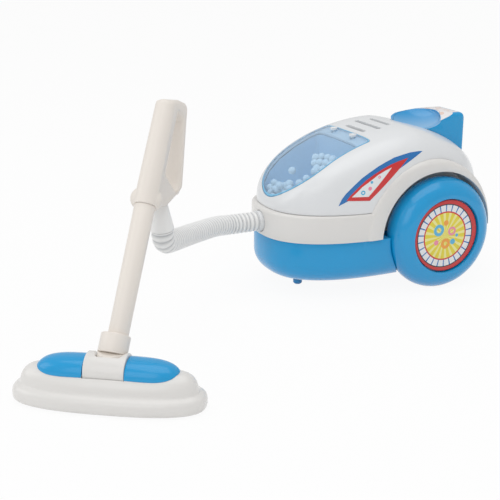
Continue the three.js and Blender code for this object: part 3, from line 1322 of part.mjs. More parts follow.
function wandHandle() {
  const foot = HANDLE_FOOT;
  const capRound = LEG_TOP_RADIUS * 0.8;
  const leg = revolve([
    [0, foot], [LEG_FOOT_RADIUS - 0.4, foot], [LEG_FOOT_RADIUS, foot + 0.4],
    [LEG_TOP_RADIUS, HANDLE_TOP - capRound], [LEG_TOP_RADIUS - 0.3 * capRound, HANDLE_TOP - 0.3 * capRound],
    [LEG_TOP_RADIUS - capRound, HANDLE_TOP], [0, HANDLE_TOP],
  ], 20);
  const loop = cut(
    sideProfile(loopOutline(), LOOP_HALF_WIDTH, LOOP_ROUND, 5),
    sideProfile(loopHole(), 2 * LOOP_HALF_WIDTH, 0, 6),
  );
  const swelling = new THREE.SphereGeometry(1, 14, 10)
    .scale(SWELL_HALF_WIDTH, SWELL_HALF_DEPTH, SWELL_HALF_HEIGHT)
    .translate(0, SWELL_BACK, foot + SWELL_RISE);
  const above = box(-FAR, FAR, -FAR, FAR, foot, FAR);
  const branch = onBranch(revolve([
    [0, 0], [BRANCH_RADIUS, 0], [BRANCH_RADIUS, BRANCH_LENGTH], [SPIGOT_RADIUS, BRANCH_LENGTH],
    [SPIGOT_RADIUS, BRANCH_LENGTH + SPIGOT_LENGTH], [0, BRANCH_LENGTH + SPIGOT_LENGTH],
  ], 20));
  const socket = rodZ(TUBE_SPIGOT_RADIUS + GAP, foot - 1, foot + TUBE_SPIGOT + GAP, 0, 0);
  return cut(join(leg, loop, common(swelling, above), branch), socket);
}

function hoseCuff() {
  const start = BRANCH_LENGTH + GAP;
  const end = start + CUFF_LENGTH;
  const bore = SPIGOT_RADIUS + GAP;
  const rim = HOSE_RADIUS + CUFF_RIM;
  return onBranch(revolve([
    [bore, start], [CUFF_RADIUS, start], [rim, end - CUFF_RIM_LENGTH], [rim, end], [bore, end], [bore, start],
  ], 24));
}

function makeWand() {
  const wand = new THREE.Group();
  addMesh(wand, 'wand_tube', wandTube(), plastic(WARM_WHITE));
  addMesh(wand, 'wand_handle', wandHandle(), plastic(WARM_WHITE));
  addMesh(wand, 'hose_cuff', hoseCuff(), plastic(WARM_WHITE));
  addMarker(wand, 'wand_top', 0, 0, HANDLE_TOP);
  return wand;
}

// The hose's route from the wand's cuff to the canister's inlet. Its ends run straight.
function hoseRoute(cuffEnd, cuffDirection) {
  const inlet = new THREE.Vector3(0, -(BODY_FRONT + INLET_REACH + GAP), INLET_AXIS);
  const start = cuffEnd.clone().addScaledVector(cuffDirection, GAP);
  const chosen = [
    [54.3, -171.4, 56.3], [53.3, -170.5, 54.4], [51.8, -169.2, 52.9], [50.1, -167.6, 52.1], [48.3, -166.1, 51.7],
    [44.2, -162.4, 50.7], [30.3, -150.2, 47.5], [15.8, -135.2, 44.5], [6.2, -123, 42.6], [1.4, -114, 41],
  ];
  return new THREE.CatmullRomCurve3([
    start,
    start.clone().addScaledVector(cuffDirection, HOSE_LEAD),
    ...chosen.map(([x, y, z]) => new THREE.Vector3(x, y, z)),
    inlet.clone().add(new THREE.Vector3(0, -HOSE_RUN_IN, 0)),
    inlet.clone().add(new THREE.Vector3(0, -HOSE_RUN_IN / 2, 0)),
    inlet,
  ], false, 'centripetal');
}

// Ribbed hose: two rings a rib outside, a plain bore inside.
function ribbedHose(route) {
  const steps = 2 * HOSE_RIBS;
  const frames = route.computeFrenetFrames(steps, false);
  const points = [];
  const ringAt = (step, radius) => {
    const centre = route.getPointAt(step / steps);
    const first = points.length;
    for (let i = 0; i < HOSE_SIDES; i += 1) {
      const angle = (i / HOSE_SIDES) * 2 * Math.PI;
      points.push(centre.clone()
        .addScaledVector(frames.normals[step], radius * Math.cos(angle))
        .addScaledVector(frames.binormals[step], radius * Math.sin(angle)));
    }
    return first;
  };
  const loop = [];
  for (let step = 0; step <= steps; step += 1) {
    loop.push(ringAt(step, step % 2 ? HOSE_RADIUS : HOSE_RADIUS - HOSE_GROOVE));
  }
  for (let step = steps; step >= 0; step -= 1) {
    if (step % (2 * RIBS_PER_BORE_RING) === 0 || step === steps) {
      loop.push(ringAt(step, HOSE_BORE));
    }
  }
  const faces = [];
  loop.forEach((first, k) => {
    const next = loop[(k + 1) % loop.length];
    for (let i = 0; i < HOSE_SIDES; i += 1) {
      const j = (i + 1) % HOSE_SIDES;
      faces.push(first + i, first + j, next + j, first + i, next + j, next + i);
    }
  });
  const geometry = new THREE.BufferGeometry().setFromPoints(points);
  geometry.setIndex(faces);
  return geometry;
}

const vacuum = new THREE.Group();
vacuum.name = 'toy_vacuum_cleaner';
const layout = new THREE.Group();
vacuum.add(layout);
layout.add(makeCanister());

const head = makeHead();
head.position.set(HEAD_X, HEAD_Y, 0);
head.rotation.z = HEAD_YAW * DEGREE;
layout.add(head);

const knuckle = new THREE.Group();
knuckle.position.z = TILT_HEIGHT;
knuckle.rotation.x = -NECK_TILT * DEGREE;
addMesh(knuckle, 'neck_drum', neckDrum(), plastic(IVORY));
addMarker(knuckle, 'axis_lean', NECK_SHIFT, 0, LEAN_PIN_HEIGHT);
addMarker(knuckle, 'axis_lean_end', NECK_SHIFT, 1, LEAN_PIN_HEIGHT);
head.add(knuckle);

const lean = new THREE.Group();
lean.position.set(NECK_SHIFT, 0, LEAN_PIN_HEIGHT);
lean.rotation.y = NECK_LEAN * DEGREE;
knuckle.add(lean);

const leanPinHalf = COLLAR_RADIUS - COLLAR_CHAMFER - GAP;
addMesh(lean, 'neck_collar', neckCollar(), plastic(WARM_WHITE));
addMesh(lean, 'neck_pin', rodY(PIN_RADIUS, -leanPinHalf, leanPinHalf, 0, 0, 14), metal(STEEL));

const wand = makeWand();
wand.rotation.z = WAND_TWIST * DEGREE;
lean.add(wand);

const cuffReach = BRANCH_LENGTH + GAP + CUFF_LENGTH;
layout.updateMatrixWorld(true);
const cuffEnd = wand.localToWorld(branchRoot.clone().addScaledVector(branchDirection, cuffReach));
const cuffDirection = branchDirection.clone().transformDirection(wand.matrixWorld);

// The origin is at the middle of the standing object, taken without the hose.
const bounds = new THREE.Box3().setFromObject(layout, true);
const middle = bounds.getCenter(new THREE.Vector3());
addMesh(layout, 'hose', ribbedHose(hoseRoute(cuffEnd, cuffDirection)), plastic(WHITE));
layout.position.set(-middle.x, -middle.y, -bounds.min.z);
vacuum.updateMatrixWorld(true);

export default vacuum;
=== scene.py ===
"""Looks for a toy canister vacuum cleaner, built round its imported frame.

The canister, the hose, the wand and the floor head are each a class that holds its sizes in millimetres,
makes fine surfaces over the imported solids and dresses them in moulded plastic, printed vinyl, foam and steel.
"""

from __future__ import annotations

import logging
import math
import random
from dataclasses import dataclass, field
from enum import Enum
from typing import Callable, Iterable, Sequence

import bmesh
import bpy
from mathutils import Matrix, Vector

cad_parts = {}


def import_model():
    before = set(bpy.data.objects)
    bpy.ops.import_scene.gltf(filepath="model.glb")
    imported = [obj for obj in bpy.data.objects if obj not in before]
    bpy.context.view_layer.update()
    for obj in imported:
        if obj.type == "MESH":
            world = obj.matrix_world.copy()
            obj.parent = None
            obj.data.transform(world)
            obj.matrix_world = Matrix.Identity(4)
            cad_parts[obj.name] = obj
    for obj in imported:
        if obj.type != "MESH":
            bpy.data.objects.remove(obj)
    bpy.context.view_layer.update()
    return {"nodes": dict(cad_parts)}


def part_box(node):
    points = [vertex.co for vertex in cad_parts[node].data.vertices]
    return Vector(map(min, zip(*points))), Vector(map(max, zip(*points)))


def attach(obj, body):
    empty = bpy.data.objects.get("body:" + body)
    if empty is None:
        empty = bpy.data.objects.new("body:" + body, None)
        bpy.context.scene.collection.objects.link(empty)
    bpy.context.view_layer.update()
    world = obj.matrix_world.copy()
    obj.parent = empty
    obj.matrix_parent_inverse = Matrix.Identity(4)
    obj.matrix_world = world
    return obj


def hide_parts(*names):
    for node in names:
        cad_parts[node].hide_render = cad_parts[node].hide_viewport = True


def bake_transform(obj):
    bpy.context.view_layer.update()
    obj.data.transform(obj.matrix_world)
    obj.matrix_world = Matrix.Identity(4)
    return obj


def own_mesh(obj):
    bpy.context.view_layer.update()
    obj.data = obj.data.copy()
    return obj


LOG = logging.getLogger("toy_vacuum")
MM = 0.001
GAP = 0.3
HEAD_YAW = 55
EYE = (505.1, -338.46, 204.8)
INLET_END = 96
Solid = bpy.types.Object
Socket = bpy.types.NodeSocket
Material = bpy.types.Material
Point2 = tuple[float, float]
Point3 = tuple[float, float, float]
Colour = tuple[float, float, float]
SIDE_VIEW = Matrix(((0, 0, 1, 0), (1, 0, 0, 0), (0, 1, 0, 0), (0, 0, 0, 1)))
FRONT_VIEW = Matrix(((1, 0, 0, 0), (0, 0, -1, 0), (0, 1, 0, 0), (0, 0, 0, 1)))


def signed_power(value: float, power: float) -> float:
    """Raises a value's size to a power and keeps its sign."""
    return math.copysign(abs(value) ** power, value)


def lerp(a: float, b: float, t: float) -> float:
    """Mixes two numbers."""
    return a + (b - a) * t


def srgb(hex_code: str) -> Colour:
    """Turns a hex colour as seen on a screen into linear values.

    Args:
        hex_code: Six hex digits.

    Returns:
        Linear red, green and blue.
    """
    levels = [int(hex_code[i:i + 2], 16) / 255 for i in (0, 2, 4)]
    linear = [v / 12.92 if v <= 0.04045 else ((v + 0.055) / 1.055) ** 2.4 for v in levels]
    return linear[0], linear[1], linear[2]


def turn_about(axis: str, degrees: float) -> Matrix:
    """Makes a turn about one axis."""
    return Matrix.Rotation(math.radians(degrees), 4, axis)


def link_object(name: str, data: bpy.types.ID) -> Solid:
    """Makes an object of some data and puts it in the scene."""
    obj = bpy.data.objects.new(name, data)
    bpy.context.scene.collection.objects.link(obj)
    return obj


def coat(piece: Solid, material: Material) -> None:
    """Gives a piece one material."""
    piece.data.materials.clear()
    piece.data.materials.append(material)


class Join(Enum):
    """How two solids are put together."""

    ADD = "UNION"
    CUT = "DIFFERENCE"
    COMMON = "INTERSECT"


class Side(Enum):
    """The canister's two sides, as the sign of X."""

    LEFT = 1
    RIGHT = -1

    @property
    def label(self) -> str:
        """The side's name in the names of pieces."""
        return self.name.lower()


class Form:
    """Makes and joins closed meshes in millimetres."""

    @staticmethod
    def from_bmesh(name: str, bm: bmesh.types.BMesh, place: Matrix | None = None) -> Solid:
        """Makes an object of a mesh in millimetres.

        Args:
            name: The object's name.
            bm: The mesh, which is freed.
            place: Where the mesh goes, in millimetres.

        Returns:
            An object at the origin with its place in its mesh, in metres.
        """
        bmesh.ops.remove_doubles(bm, verts=bm.verts, dist=1e-4)
        bmesh.ops.recalc_face_normals(bm, faces=bm.faces)
        bm.transform(Matrix.Scale(MM, 4) @ (place or Matrix.Identity(4)))
        mesh = bpy.data.meshes.new(name)
        bm.to_mesh(mesh)
        bm.free()
        return link_object(name, mesh)

    @staticmethod
    def ball(name: str, around: int, rows: int, place: Matrix) -> Solid:
        """Makes a ball of radius one, which its place stretches."""
        bm = bmesh.new()
        bmesh.ops.create_uvsphere(bm, u_segments=around, v_segments=rows, radius=1)
        return Form.from_bmesh(name, bm, place)

    @staticmethod
    def loft(
        name: str,
        rings: Sequence[Sequence[Vector]],
        tips: tuple[Vector, Vector] | None = None,
        place: Matrix | None = None,
    ) -> Solid:
        """Skins a row of rings with as many points each.

        Args:
            name: The object's name.
            rings: The rings, from one end to the other.
            tips: The points that close both ends, or none for flat ends.
            place: Where the mesh goes, in millimetres.

        Returns:
            The closed object.
        """
        bm = bmesh.new()
        rows = [[bm.verts.new(p) for p in ring] for ring in rings]
        count = len(rows[0])
        for low, high in zip(rows, rows[1:]):
            for i in range(count):
                j = (i + 1) % count
                bm.faces.new((low[i], low[j], high[j], high[i]))
        for k, row in ((0, rows[0]), (1, rows[-1])):
            if tips is None:
                bm.faces.new(row)
                continue
            tip = bm.verts.new(tips[k])
            for i in range(count):
                bm.faces.new((tip, row[i], row[(i + 1) % count]))
        return Form.from_bmesh(name, bm, place)

    @staticmethod
    def revolve(
        name: str, profile: Sequence[Point2], sides: int = 96, place: Matrix | None = None
    ) -> Solid:
        """Turns a closed profile of radius and height about Z.

        Args:
            name: The object's name.
            profile: Radius and height pairs, starting and ending on the axis or on each other.
            sides: Steps round the axis.
            place: Where the mesh goes, in millimetres.

        Returns:
            The closed object.
        """
        bm = bmesh.new()
        columns = []
        for k in range(sides):
            turn = 2 * math.pi * k / sides
            columns.append([
                bm.verts.new((r * math.cos(turn), r * math.sin(turn), z)) for r, z in profile
            ])
        for k, column in enumerate(columns):
            other = columns[(k + 1) % sides]
            for i in range(len(profile) - 1):
                bm.faces.new((column[i], other[i], other[i + 1], column[i + 1]))
        bmesh.ops.remove_doubles(bm, verts=bm.verts, dist=1e-5)
        bmesh.ops.dissolve_degenerate(bm, edges=bm.edges, dist=1e-5)
        return Form.from_bmesh(name, bm, place)

    @staticmethod
    def prism(
        name: str, outline: Sequence[Point2], low: float, high: float, place: Matrix | None = None
    ) -> Solid:
        """Extrudes an outline along Z.

        Args:
            name: The object's name.
            outline: The corners in X and Y.
            low: The foot's height.
            high: The top's height.
            place: Where the mesh goes, in millimetres.

        Returns:
            The closed object.
        """
        rings = [[Vector((x, y, z)) for x, y in outline] for z in (low, high)]
        return Form.loft(name, rings, place=place)

    @staticmethod
    def block(name: str, low: Sequence[float], high: Sequence[float]) -> Solid:
        """Makes a box between two corners."""
        outline = [(low[0], low[1]), (high[0], low[1]), (high[0], high[1]), (low[0], high[1])]
        return Form.prism(name, outline, low[2], high[2])

    @staticmethod
    def rod(name: str, radius: float, start: Vector, end: Vector, sides: int = 48) -> Solid:
        """Makes a round rod between two points."""
        axis = end - start
        turn = axis.to_track_quat("Z", "Y").to_matrix().to_4x4()
        outline = circle(radius, sides)
        return Form.prism(name, outline, 0, axis.length, Matrix.Translation(start) @ turn)

    @staticmethod
    def plate(
        name: str,
        loops: Sequence[Sequence[Point2]],
        half: float,
        rounding: float,
        place: Matrix,
        steps: int = 4,
    ) -> Solid:
        """Makes a flat plate with rounded edges from an outline and its holes.

        Args:
            name: The object's name.
            loops: The outline, then the holes.
            half: Half the plate's thickness, along the local Z.
            rounding: Radius of its edges.
            place: Where the plate goes, in millimetres.
            steps: Steps of the rounding.

        Returns:
            The closed object.
        """
        curve = bpy.data.curves.new(name, "CURVE")
        curve.dimensions = "2D"
        curve.fill_mode = "BOTH"
        curve.extrude = half - rounding
        curve.bevel_depth = rounding
        curve.offset = -rounding
        curve.bevel_resolution = steps
        for loop in loops:
            spline = curve.splines.new("POLY")
            spline.points.add(len(loop) - 1)
            for point, (x, y) in zip(spline.points, loop):
                point.co = (x, y, 0, 1)
            spline.use_cyclic_u = True
        holder = link_object(name + "_curve", curve)
        mesh = Form.evaluated(holder)
        bpy.data.objects.remove(holder)
        bm = bmesh.new()
        bm.from_mesh(mesh)
        bpy.data.meshes.remove(mesh)
        return Form.from_bmesh(name, bm, place)

    @staticmethod
    def evaluated(obj: Solid) -> bpy.types.Mesh:
        """The mesh that an object shows, with its modifiers."""
        bpy.context.view_layer.update()
        graph = bpy.context.evaluated_depsgraph_get()
        return bpy.data.meshes.new_from_object(obj.evaluated_get(graph))

    @staticmethod
    def apply(obj: Solid) -> Solid:
        """Turns an object's modifiers into plain mesh."""
        mesh = Form.evaluated(obj)
        obj.modifiers.clear()
        old = obj.data
        obj.data = mesh
        mesh.name = obj.name
        bpy.data.meshes.remove(old)
        return obj

    @staticmethod
    def combine(
        obj: Solid, how: Join, *others: Solid, keep: bool = False
    ) -> Solid:
        """Joins, cuts or keeps the common part of closed meshes.

        Args:
            obj: The mesh that is changed.
            how: What is done.
            others: The other meshes.
            keep: Whether the others stay in the scene.

        Returns:
            The changed object.
        """
        for other in others:
            modifier = obj.modifiers.new(how.name, "BOOLEAN")
            modifier.operation = how.value
            modifier.object = other
            modifier.solver = "MANIFOLD"
        Form.apply(obj)
        if not keep:
            for other in others:
                bpy.data.objects.remove(other)
        return obj

    @staticmethod
    def smooth(obj: Solid, edge: float = 0.0, limit: float = 32.0) -> Solid:
        """Softens the hard edges and shades the rest smooth.

        Args:
            obj: The finished mesh.
            edge: Width of the softened edge in millimetres.
            limit: The angle above which an edge is hard, in degrees.

        Returns:
            The same object.
        """
        bm = bmesh.new()
        bm.from_mesh(obj.data)
        bmesh.ops.remove_doubles(bm, verts=bm.verts, dist=2e-6)
        bmesh.ops.dissolve_degenerate(bm, edges=bm.edges, dist=2e-6)
        bm.to_mesh(obj.data)
        bm.free()
        if edge > 0:
            bevel = obj.modifiers.new("soft_edge", "BEVEL")
            bevel.width = edge * MM
            bevel.segments = 2
            bevel.limit_method = "ANGLE"
            bevel.angle_limit = math.radians(limit)
            bevel.use_clamp_overlap = True
            Form.apply(obj)
        obj.data.shade_smooth()
        obj.data.set_sharp_from_angle(angle=math.radians(limit))
        return obj


def circle(radius: float, sides: int = 48) -> list[Point2]:
    """Points on a circle round the origin."""
    turns = [2 * math.pi * k / sides for k in range(sides)]
    return [(radius * math.cos(t), radius * math.sin(t)) for t in turns]


def arc(cx: float, cy: float, radius: float, start: float, end: float, steps: int = 8) -> list[Point2]:
    """Points on an arc.

    Args:
        cx: The middle's first coordinate.
        cy: The middle's second coordinate.
        radius: The arc's radius.
        start: Its first angle in degrees.
        end: Its last angle in degrees.
        steps: How many steps it has.

    Returns:
        The arc's points, both ends included.
    """
    turns = [math.radians(lerp(start, end, k / steps)) for k in range(steps + 1)]
    return [(cx + radius * math.cos(t), cy + radius * math.sin(t)) for t in turns]


def bezier(points: Sequence[Point2], steps: int = 12) -> list[Point2]:
    """Points on a Bezier curve of two or three spans of control, without its first point."""
    found = []
    for k in range(1, steps + 1):
        layer = list(points)
        while len(layer) > 1:
            layer = [
                (lerp(a[0], b[0], k / steps), lerp(a[1], b[1], k / steps)) for a, b in zip(layer, layer[1:])
            ]
        found.append(layer[0])
    return found


def rounded(corners: Sequence[tuple[float, float, float]], steps: int = 8) -> list[Point2]:
    """Rounds the corners of an outline.

    Args:
        corners: Each corner's two coordinates and the length that its rounding takes from each side.
        steps: Steps of each rounding.

    Returns:
        The closed outline's points.
    """
    outline: list[Point2] = []
    for k, (x, y, cut) in enumerate(corners):
        here = Vector((x, y))
        before = Vector(corners[k - 1][:2]) - here
        after = Vector(corners[(k + 1) % len(corners)][:2]) - here
        start = here + before.normalized() * min(cut, before.length * 0.49)
        end = here + after.normalized() * min(cut, after.length * 0.49)
        outline.append(tuple(start))
        if cut > 0:
            outline += bezier([tuple(start), tuple(here), tuple(end)], steps)
    return outline


class Nodes:
    """A small helper that wires one node tree."""

    def __init__(self, tree: bpy.types.NodeTree) -> None:
        """Takes the tree to wire."""
        self.tree = tree

    def add(
        self, kind: str, inputs: dict[str | int, object] | None = None, **settings: object
    ) -> bpy.types.Node:
        """Adds a node.

        Args:
            kind: The node's type name.
            inputs: Values or sockets for its inputs, by name or number.
            settings: Its own settings.

        Returns:
            The new node.
        """
        node = self.tree.nodes.new(kind)
        for name, value in settings.items():
            setattr(node, name, value)
        for key, value in (inputs or {}).items():
            if isinstance(value, Socket):
                self.tree.links.new(value, node.inputs[key])
            else:
                node.inputs[key].default_value = value
        return node

    def math(self, operation: str, *values: object) -> Socket:
        """Adds a Math node and gives its result."""
        return self.add("ShaderNodeMath", dict(enumerate(values)), operation=operation).outputs[0]

    def mix(self, factor: object, first: object, second: object) -> Socket:
        """Mixes two colours.

        Args:
            factor: How much of the second colour shows.
            first: A colour or its socket.
            second: A colour or its socket.

        Returns:
            The mixed colour.
        """
        node = self.tree.nodes.new("ShaderNodeMix")
        node.data_type = "RGBA"
        for socket, value in zip((node.inputs[0], node.inputs[6], node.inputs[7]), (factor, first, second)):
            if isinstance(value, Socket):
                self.tree.links.new(value, socket)
            else:
                socket.default_value = value if isinstance(value, float) else (*value, 1.0)
        return node.outputs[2]

    def plain(self, colour: Colour) -> Socket:
        """Adds one colour as a node."""
        node = self.add("ShaderNodeRGB")
        node.outputs[0].default_value = (*colour, 1.0)
        return node.outputs[0]

    def reach(self, x: Socket, y: Socket) -> Socket:
        """The length of two coordinates together."""
        return self.math("SQRT", self.math("ADD", self.math("POWER", x, 2.0), self.math("POWER", y, 2.0)))

    def link(self, source: Socket, target: Socket) -> None:
        """Links two sockets."""
        self.tree.links.new(source, target)


def moulded_surface_group() -> bpy.types.NodeTree:
    """Makes the shared effect of injection-moulded plastic.

    Returns:
        A group that varies a colour and a roughness over the surface and gives a fine height.
    """
    tree = bpy.data.node_groups.new("moulded_surface", "ShaderNodeTree")
    face = tree.interface
    face.new_socket("Colour", in_out="INPUT", socket_type="NodeSocketColor")
    for name, value in (("Roughness", 0.3), ("Mottle", 0.03), ("Grain", 900.0), ("Scuff", 0.05)):
        face.new_socket(name, in_out="INPUT", socket_type="NodeSocketFloat").default_value = value
    face.new_socket("Colour", in_out="OUTPUT", socket_type="NodeSocketColor")
    face.new_socket("Roughness", in_out="OUTPUT", socket_type="NodeSocketFloat")
    face.new_socket("Height", in_out="OUTPUT", socket_type="NodeSocketFloat")
    n = Nodes(tree)
    given = n.add("NodeGroupInput")
    place = n.add("ShaderNodeTexCoord").outputs["Object"]
    cloud = n.add("ShaderNodeTexNoise", {"Vector": place, "Scale": 38.0, "Detail": 3.0}).outputs["Fac"]
    grain = n.add("ShaderNodeTexNoise", {
        "Vector": place, "Scale": given.outputs["Grain"], "Detail": 2.0,
    }).outputs["Fac"]
    stretched = n.add("ShaderNodeMapping", {"Vector": place, "Scale": (60.0, 900.0, 340.0)}).outputs[0]
    scratch = n.add("ShaderNodeTexNoise", {"Vector": stretched, "Scale": 1.0, "Detail": 1.0}).outputs["Fac"]
    raised = n.math("MAXIMUM", n.math("SUBTRACT", scratch, 0.62), 0.0)
    hair = n.math("SMOOTH_MIN", n.math("MULTIPLY", raised, 8.0), 1.0, 0.1)
    spread = n.math("MULTIPLY", n.math("SUBTRACT", cloud, 0.5), given.outputs["Mottle"])
    value = n.math("ADD", n.math("MULTIPLY", spread, 2.0), 1.0)
    tinted = n.add("ShaderNodeHueSaturation", {"Value": value, "Color": given.outputs["Colour"]}).outputs[0]
    rough = n.math("ADD", given.outputs["Roughness"], n.math("MULTIPLY", hair, given.outputs["Scuff"]))
    rough = n.math("ADD", rough, n.math("MULTIPLY", spread, 1.2))
    height = n.math("ADD", n.math("MULTIPLY", grain, 0.7), n.math("MULTIPLY", cloud, 0.3))
    n.add("NodeGroupOutput", {"Colour": tinted, "Roughness": rough, "Height": height})
    return tree


def new_material(name: str) -> tuple[Material, Nodes, bpy.types.Node]:
    """Makes a node material and gives it with its tree and its main shader."""
    material = bpy.data.materials.new(name)
    material.use_nodes = True
    return material, Nodes(material.node_tree), material.node_tree.nodes["Principled BSDF"]


def set_inputs(node: bpy.types.Node, values: dict[str, object]) -> None:
    """Sets a node's inputs by name."""
    for name, value in values.items():
        node.inputs[name].default_value = value


def show(material: Material, n: Nodes, shader: Socket) -> None:
    """Makes a shader the one that the surface shows."""
    n.link(shader, material.node_tree.nodes["Material Output"].inputs["Surface"])


@dataclass(frozen=True)
class Plastic:
    """A moulded plastic finish."""

    name: str
    colour: Colour
    roughness: float = 0.3
    mottle: float = 0.02
    grain: float = 1100.0
    scuff: float = 0.008
    bump: float = 0.02
    coat: float = 0.0
    metallic: float = 0.0
    specular: float = 0.5
    coat_roughness: float = 0.08
    bump_height: float = 0.0004

    def make(self, paint: Callable[[Nodes], Socket] | None = None) -> Material:
        """Builds the material.

        Args:
            paint: What gives the colour where a print, a painted shade or a painted sheen lies on the surface.

        Returns:
            The node material.
        """
        material, n, shader = new_material(self.name)
        group = n.add("ShaderNodeGroup", node_tree=bpy.data.node_groups["moulded_surface"])
        if paint is not None:
            n.link(paint(n), group.inputs["Colour"])
        set_inputs(group, {
            "Colour": (*self.colour, 1.0), "Roughness": self.roughness, "Mottle": self.mottle,
            "Grain": self.grain, "Scuff": self.scuff,
        })
        n.link(group.outputs["Colour"], shader.inputs["Base Color"])
        n.link(group.outputs["Roughness"], shader.inputs["Roughness"])
        bump = n.add("ShaderNodeBump", {
            "Height": group.outputs["Height"], "Strength": self.bump, "Distance": self.bump_height,
        })
        n.link(bump.outputs[0], shader.inputs["Normal"])
        set_inputs(shader, {
            "Metallic": self.metallic, "Specular IOR Level": self.specular, "Coat Weight": self.coat,
            "Coat Roughness": self.coat_roughness,
        })
        return material


@dataclass(frozen=True)
class ClearPlastic:
    """A clear, faintly blue pane that lets light into the chamber."""

    name: str = "window_clear"
    tint: Colour = (0.78, 0.89, 0.98)
    roughness: float = 0.04
    clarity: float = 0.9
    bending: float = 1.2

    def make(self) -> Material:
        """Builds the material."""
        material, n, shader = new_material(self.name)
        set_inputs(shader, {
            "Base Color": (*self.tint, 1.0), "Roughness": self.roughness,
            "Transmission Weight": self.clarity, "IOR": self.bending,
        })
        clear = n.add("ShaderNodeBsdfTransparent", {"Color": (*self.tint, 1.0)})
        path = n.add("ShaderNodeLightPath")
        through = n.math("MAXIMUM", path.outputs["Is Shadow Ray"], path.outputs["Is Diffuse Ray"])
        mixed = n.add("ShaderNodeMixShader", {0: through, 1: shader.outputs[0], 2: clear.outputs[0]})
        show(material, n, mixed.outputs[0])
        return material


BLUE = srgb("089CD8")
DEEP_BLUE = srgb("2272B8")
WHITE = srgb("E6E8EA")
IVORY = srgb("E5E3E0")
WARM_WHITE = srgb("ECE5DD")
RED = srgb("D22B2B")
YELLOW = srgb("E6D53A")
PALE_YELLOW = srgb("F3EC9A")
BLACK = srgb("26262B")
PRINT_WHITE = srgb("ECEDEE")
PINK = srgb("EE8FA8")
SKY = srgb("5CB6DC")
ORANGE = srgb("F0A040")
PEACH = srgb("EBCFC2")
LABEL_WHITE = srgb("EEEAEA")
DISH_BLUE = srgb("1F98D6")
# The pale end of the painted sheen in the tail's dish.
DISH_SHEEN_PALE = srgb("96C4E8")
HOSE_GREY = srgb("F4F4F3")
# Painted shade in the hose's grooves.
GROOVE_SHADE_GREY = srgb("C6C8CA")


@dataclass(frozen=True)
class Dot:
    """A round spot of a print, in millimetres from the print's middle."""

    across: float
    up: float
    radius: float
    colour: Colour
    hole: float = 0.0


@dataclass(frozen=True)
class HubPrint:
    """The wheel hub's print: rings, segments, a sunburst and a few bubbles."""

    radius: float
    middle: Vector
    segments: int = 26
    rays: int = 20
    dots: tuple[Dot, ...] = (
        Dot(-4.2, 3.6, 3.4, SKY, 0.45), Dot(4.6, 2.2, 2.6, PINK, 0.5), Dot(0.6, -4.6, 3.0, ORANGE, 0.4),
        Dot(-5.6, -3.4, 1.5, PINK), Dot(5.4, -4.0, 1.7, SKY), Dot(0.4, 7.4, 1.6, ORANGE),
        Dot(8.0, -0.6, 1.0, SKY),
    )

    def paint(self, n: Nodes) -> Socket:
        """Wires the print's colour.

        Args:
            n: The material's tree.

        Returns:
            The colour socket.
        """
        place = n.add("ShaderNodeTexCoord").outputs["Object"]
        shift = n.add("ShaderNodeMapping", {"Vector": place, "Location": -self.middle}).outputs[0]
        axes = n.add("ShaderNodeSeparateXYZ", {0: shift})
        across, up = axes.outputs["Y"], axes.outputs["Z"]
        share = n.math("DIVIDE", n.reach(across, up), self.radius * MM)
        turn = n.math("DIVIDE", n.math("ARCTAN2", up, across), 2 * math.pi)
        wave = n.math("SINE", n.math("MULTIPLY", turn, 2 * math.pi * self.rays))
        burst = n.math("GREATER_THAN", wave, 0.25)
        colour = n.mix(burst, YELLOW, PALE_YELLOW)
        colour = paint_dots(n, colour, self.dots, across, up)
        wedge = n.math("FRACT", n.math("ADD", n.math("MULTIPLY", turn, float(self.segments)), 40.0))
        bar = n.math("LESS_THAN", n.math("ABSOLUTE", n.math("SUBTRACT", wedge, 0.5)), 0.09)
        ring = n.mix(bar, PRINT_WHITE, DEEP_BLUE)
        for edge, layer in ((0.655, RED), (0.695, ring), (0.875, BLACK), (0.905, RED)):
            colour = n.mix(n.math("GREATER_THAN", share, edge), colour, layer)
        return colour


def paint_dots(
    n: Nodes, colour: Socket, dots: Iterable[Dot], across: object, up: object
) -> Socket:
    """Lays round spots over a colour.

    Args:
        n: The material's tree.
        colour: The colour below.
        dots: The spots.
        across: The print's first coordinate, in metres.
        up: The print's second coordinate, in metres.

    Returns:
        The colour with the spots.
    """
    for dot in dots:
        dx = n.math("SUBTRACT", across, dot.across * MM)
        dy = n.math("SUBTRACT", up, dot.up * MM)
        reach = n.reach(dx, dy)
        inside = n.math("LESS_THAN", reach, dot.radius * MM)
        if dot.hole > 0:
            inside = n.math("MULTIPLY", inside, n.math("GREATER_THAN", reach, dot.radius * dot.hole * MM))
        colour = n.mix(inside, colour, dot.colour)
    return colour


def paint_groove_shade(n: Nodes) -> Socket:
    """Wires the hose's colour, with painted shade darkening its grooves."""
    depth = n.add("ShaderNodeAttribute", attribute_name="groove").outputs["Fac"]
    return n.mix(depth, HOSE_GREY, GROOVE_SHADE_GREY)


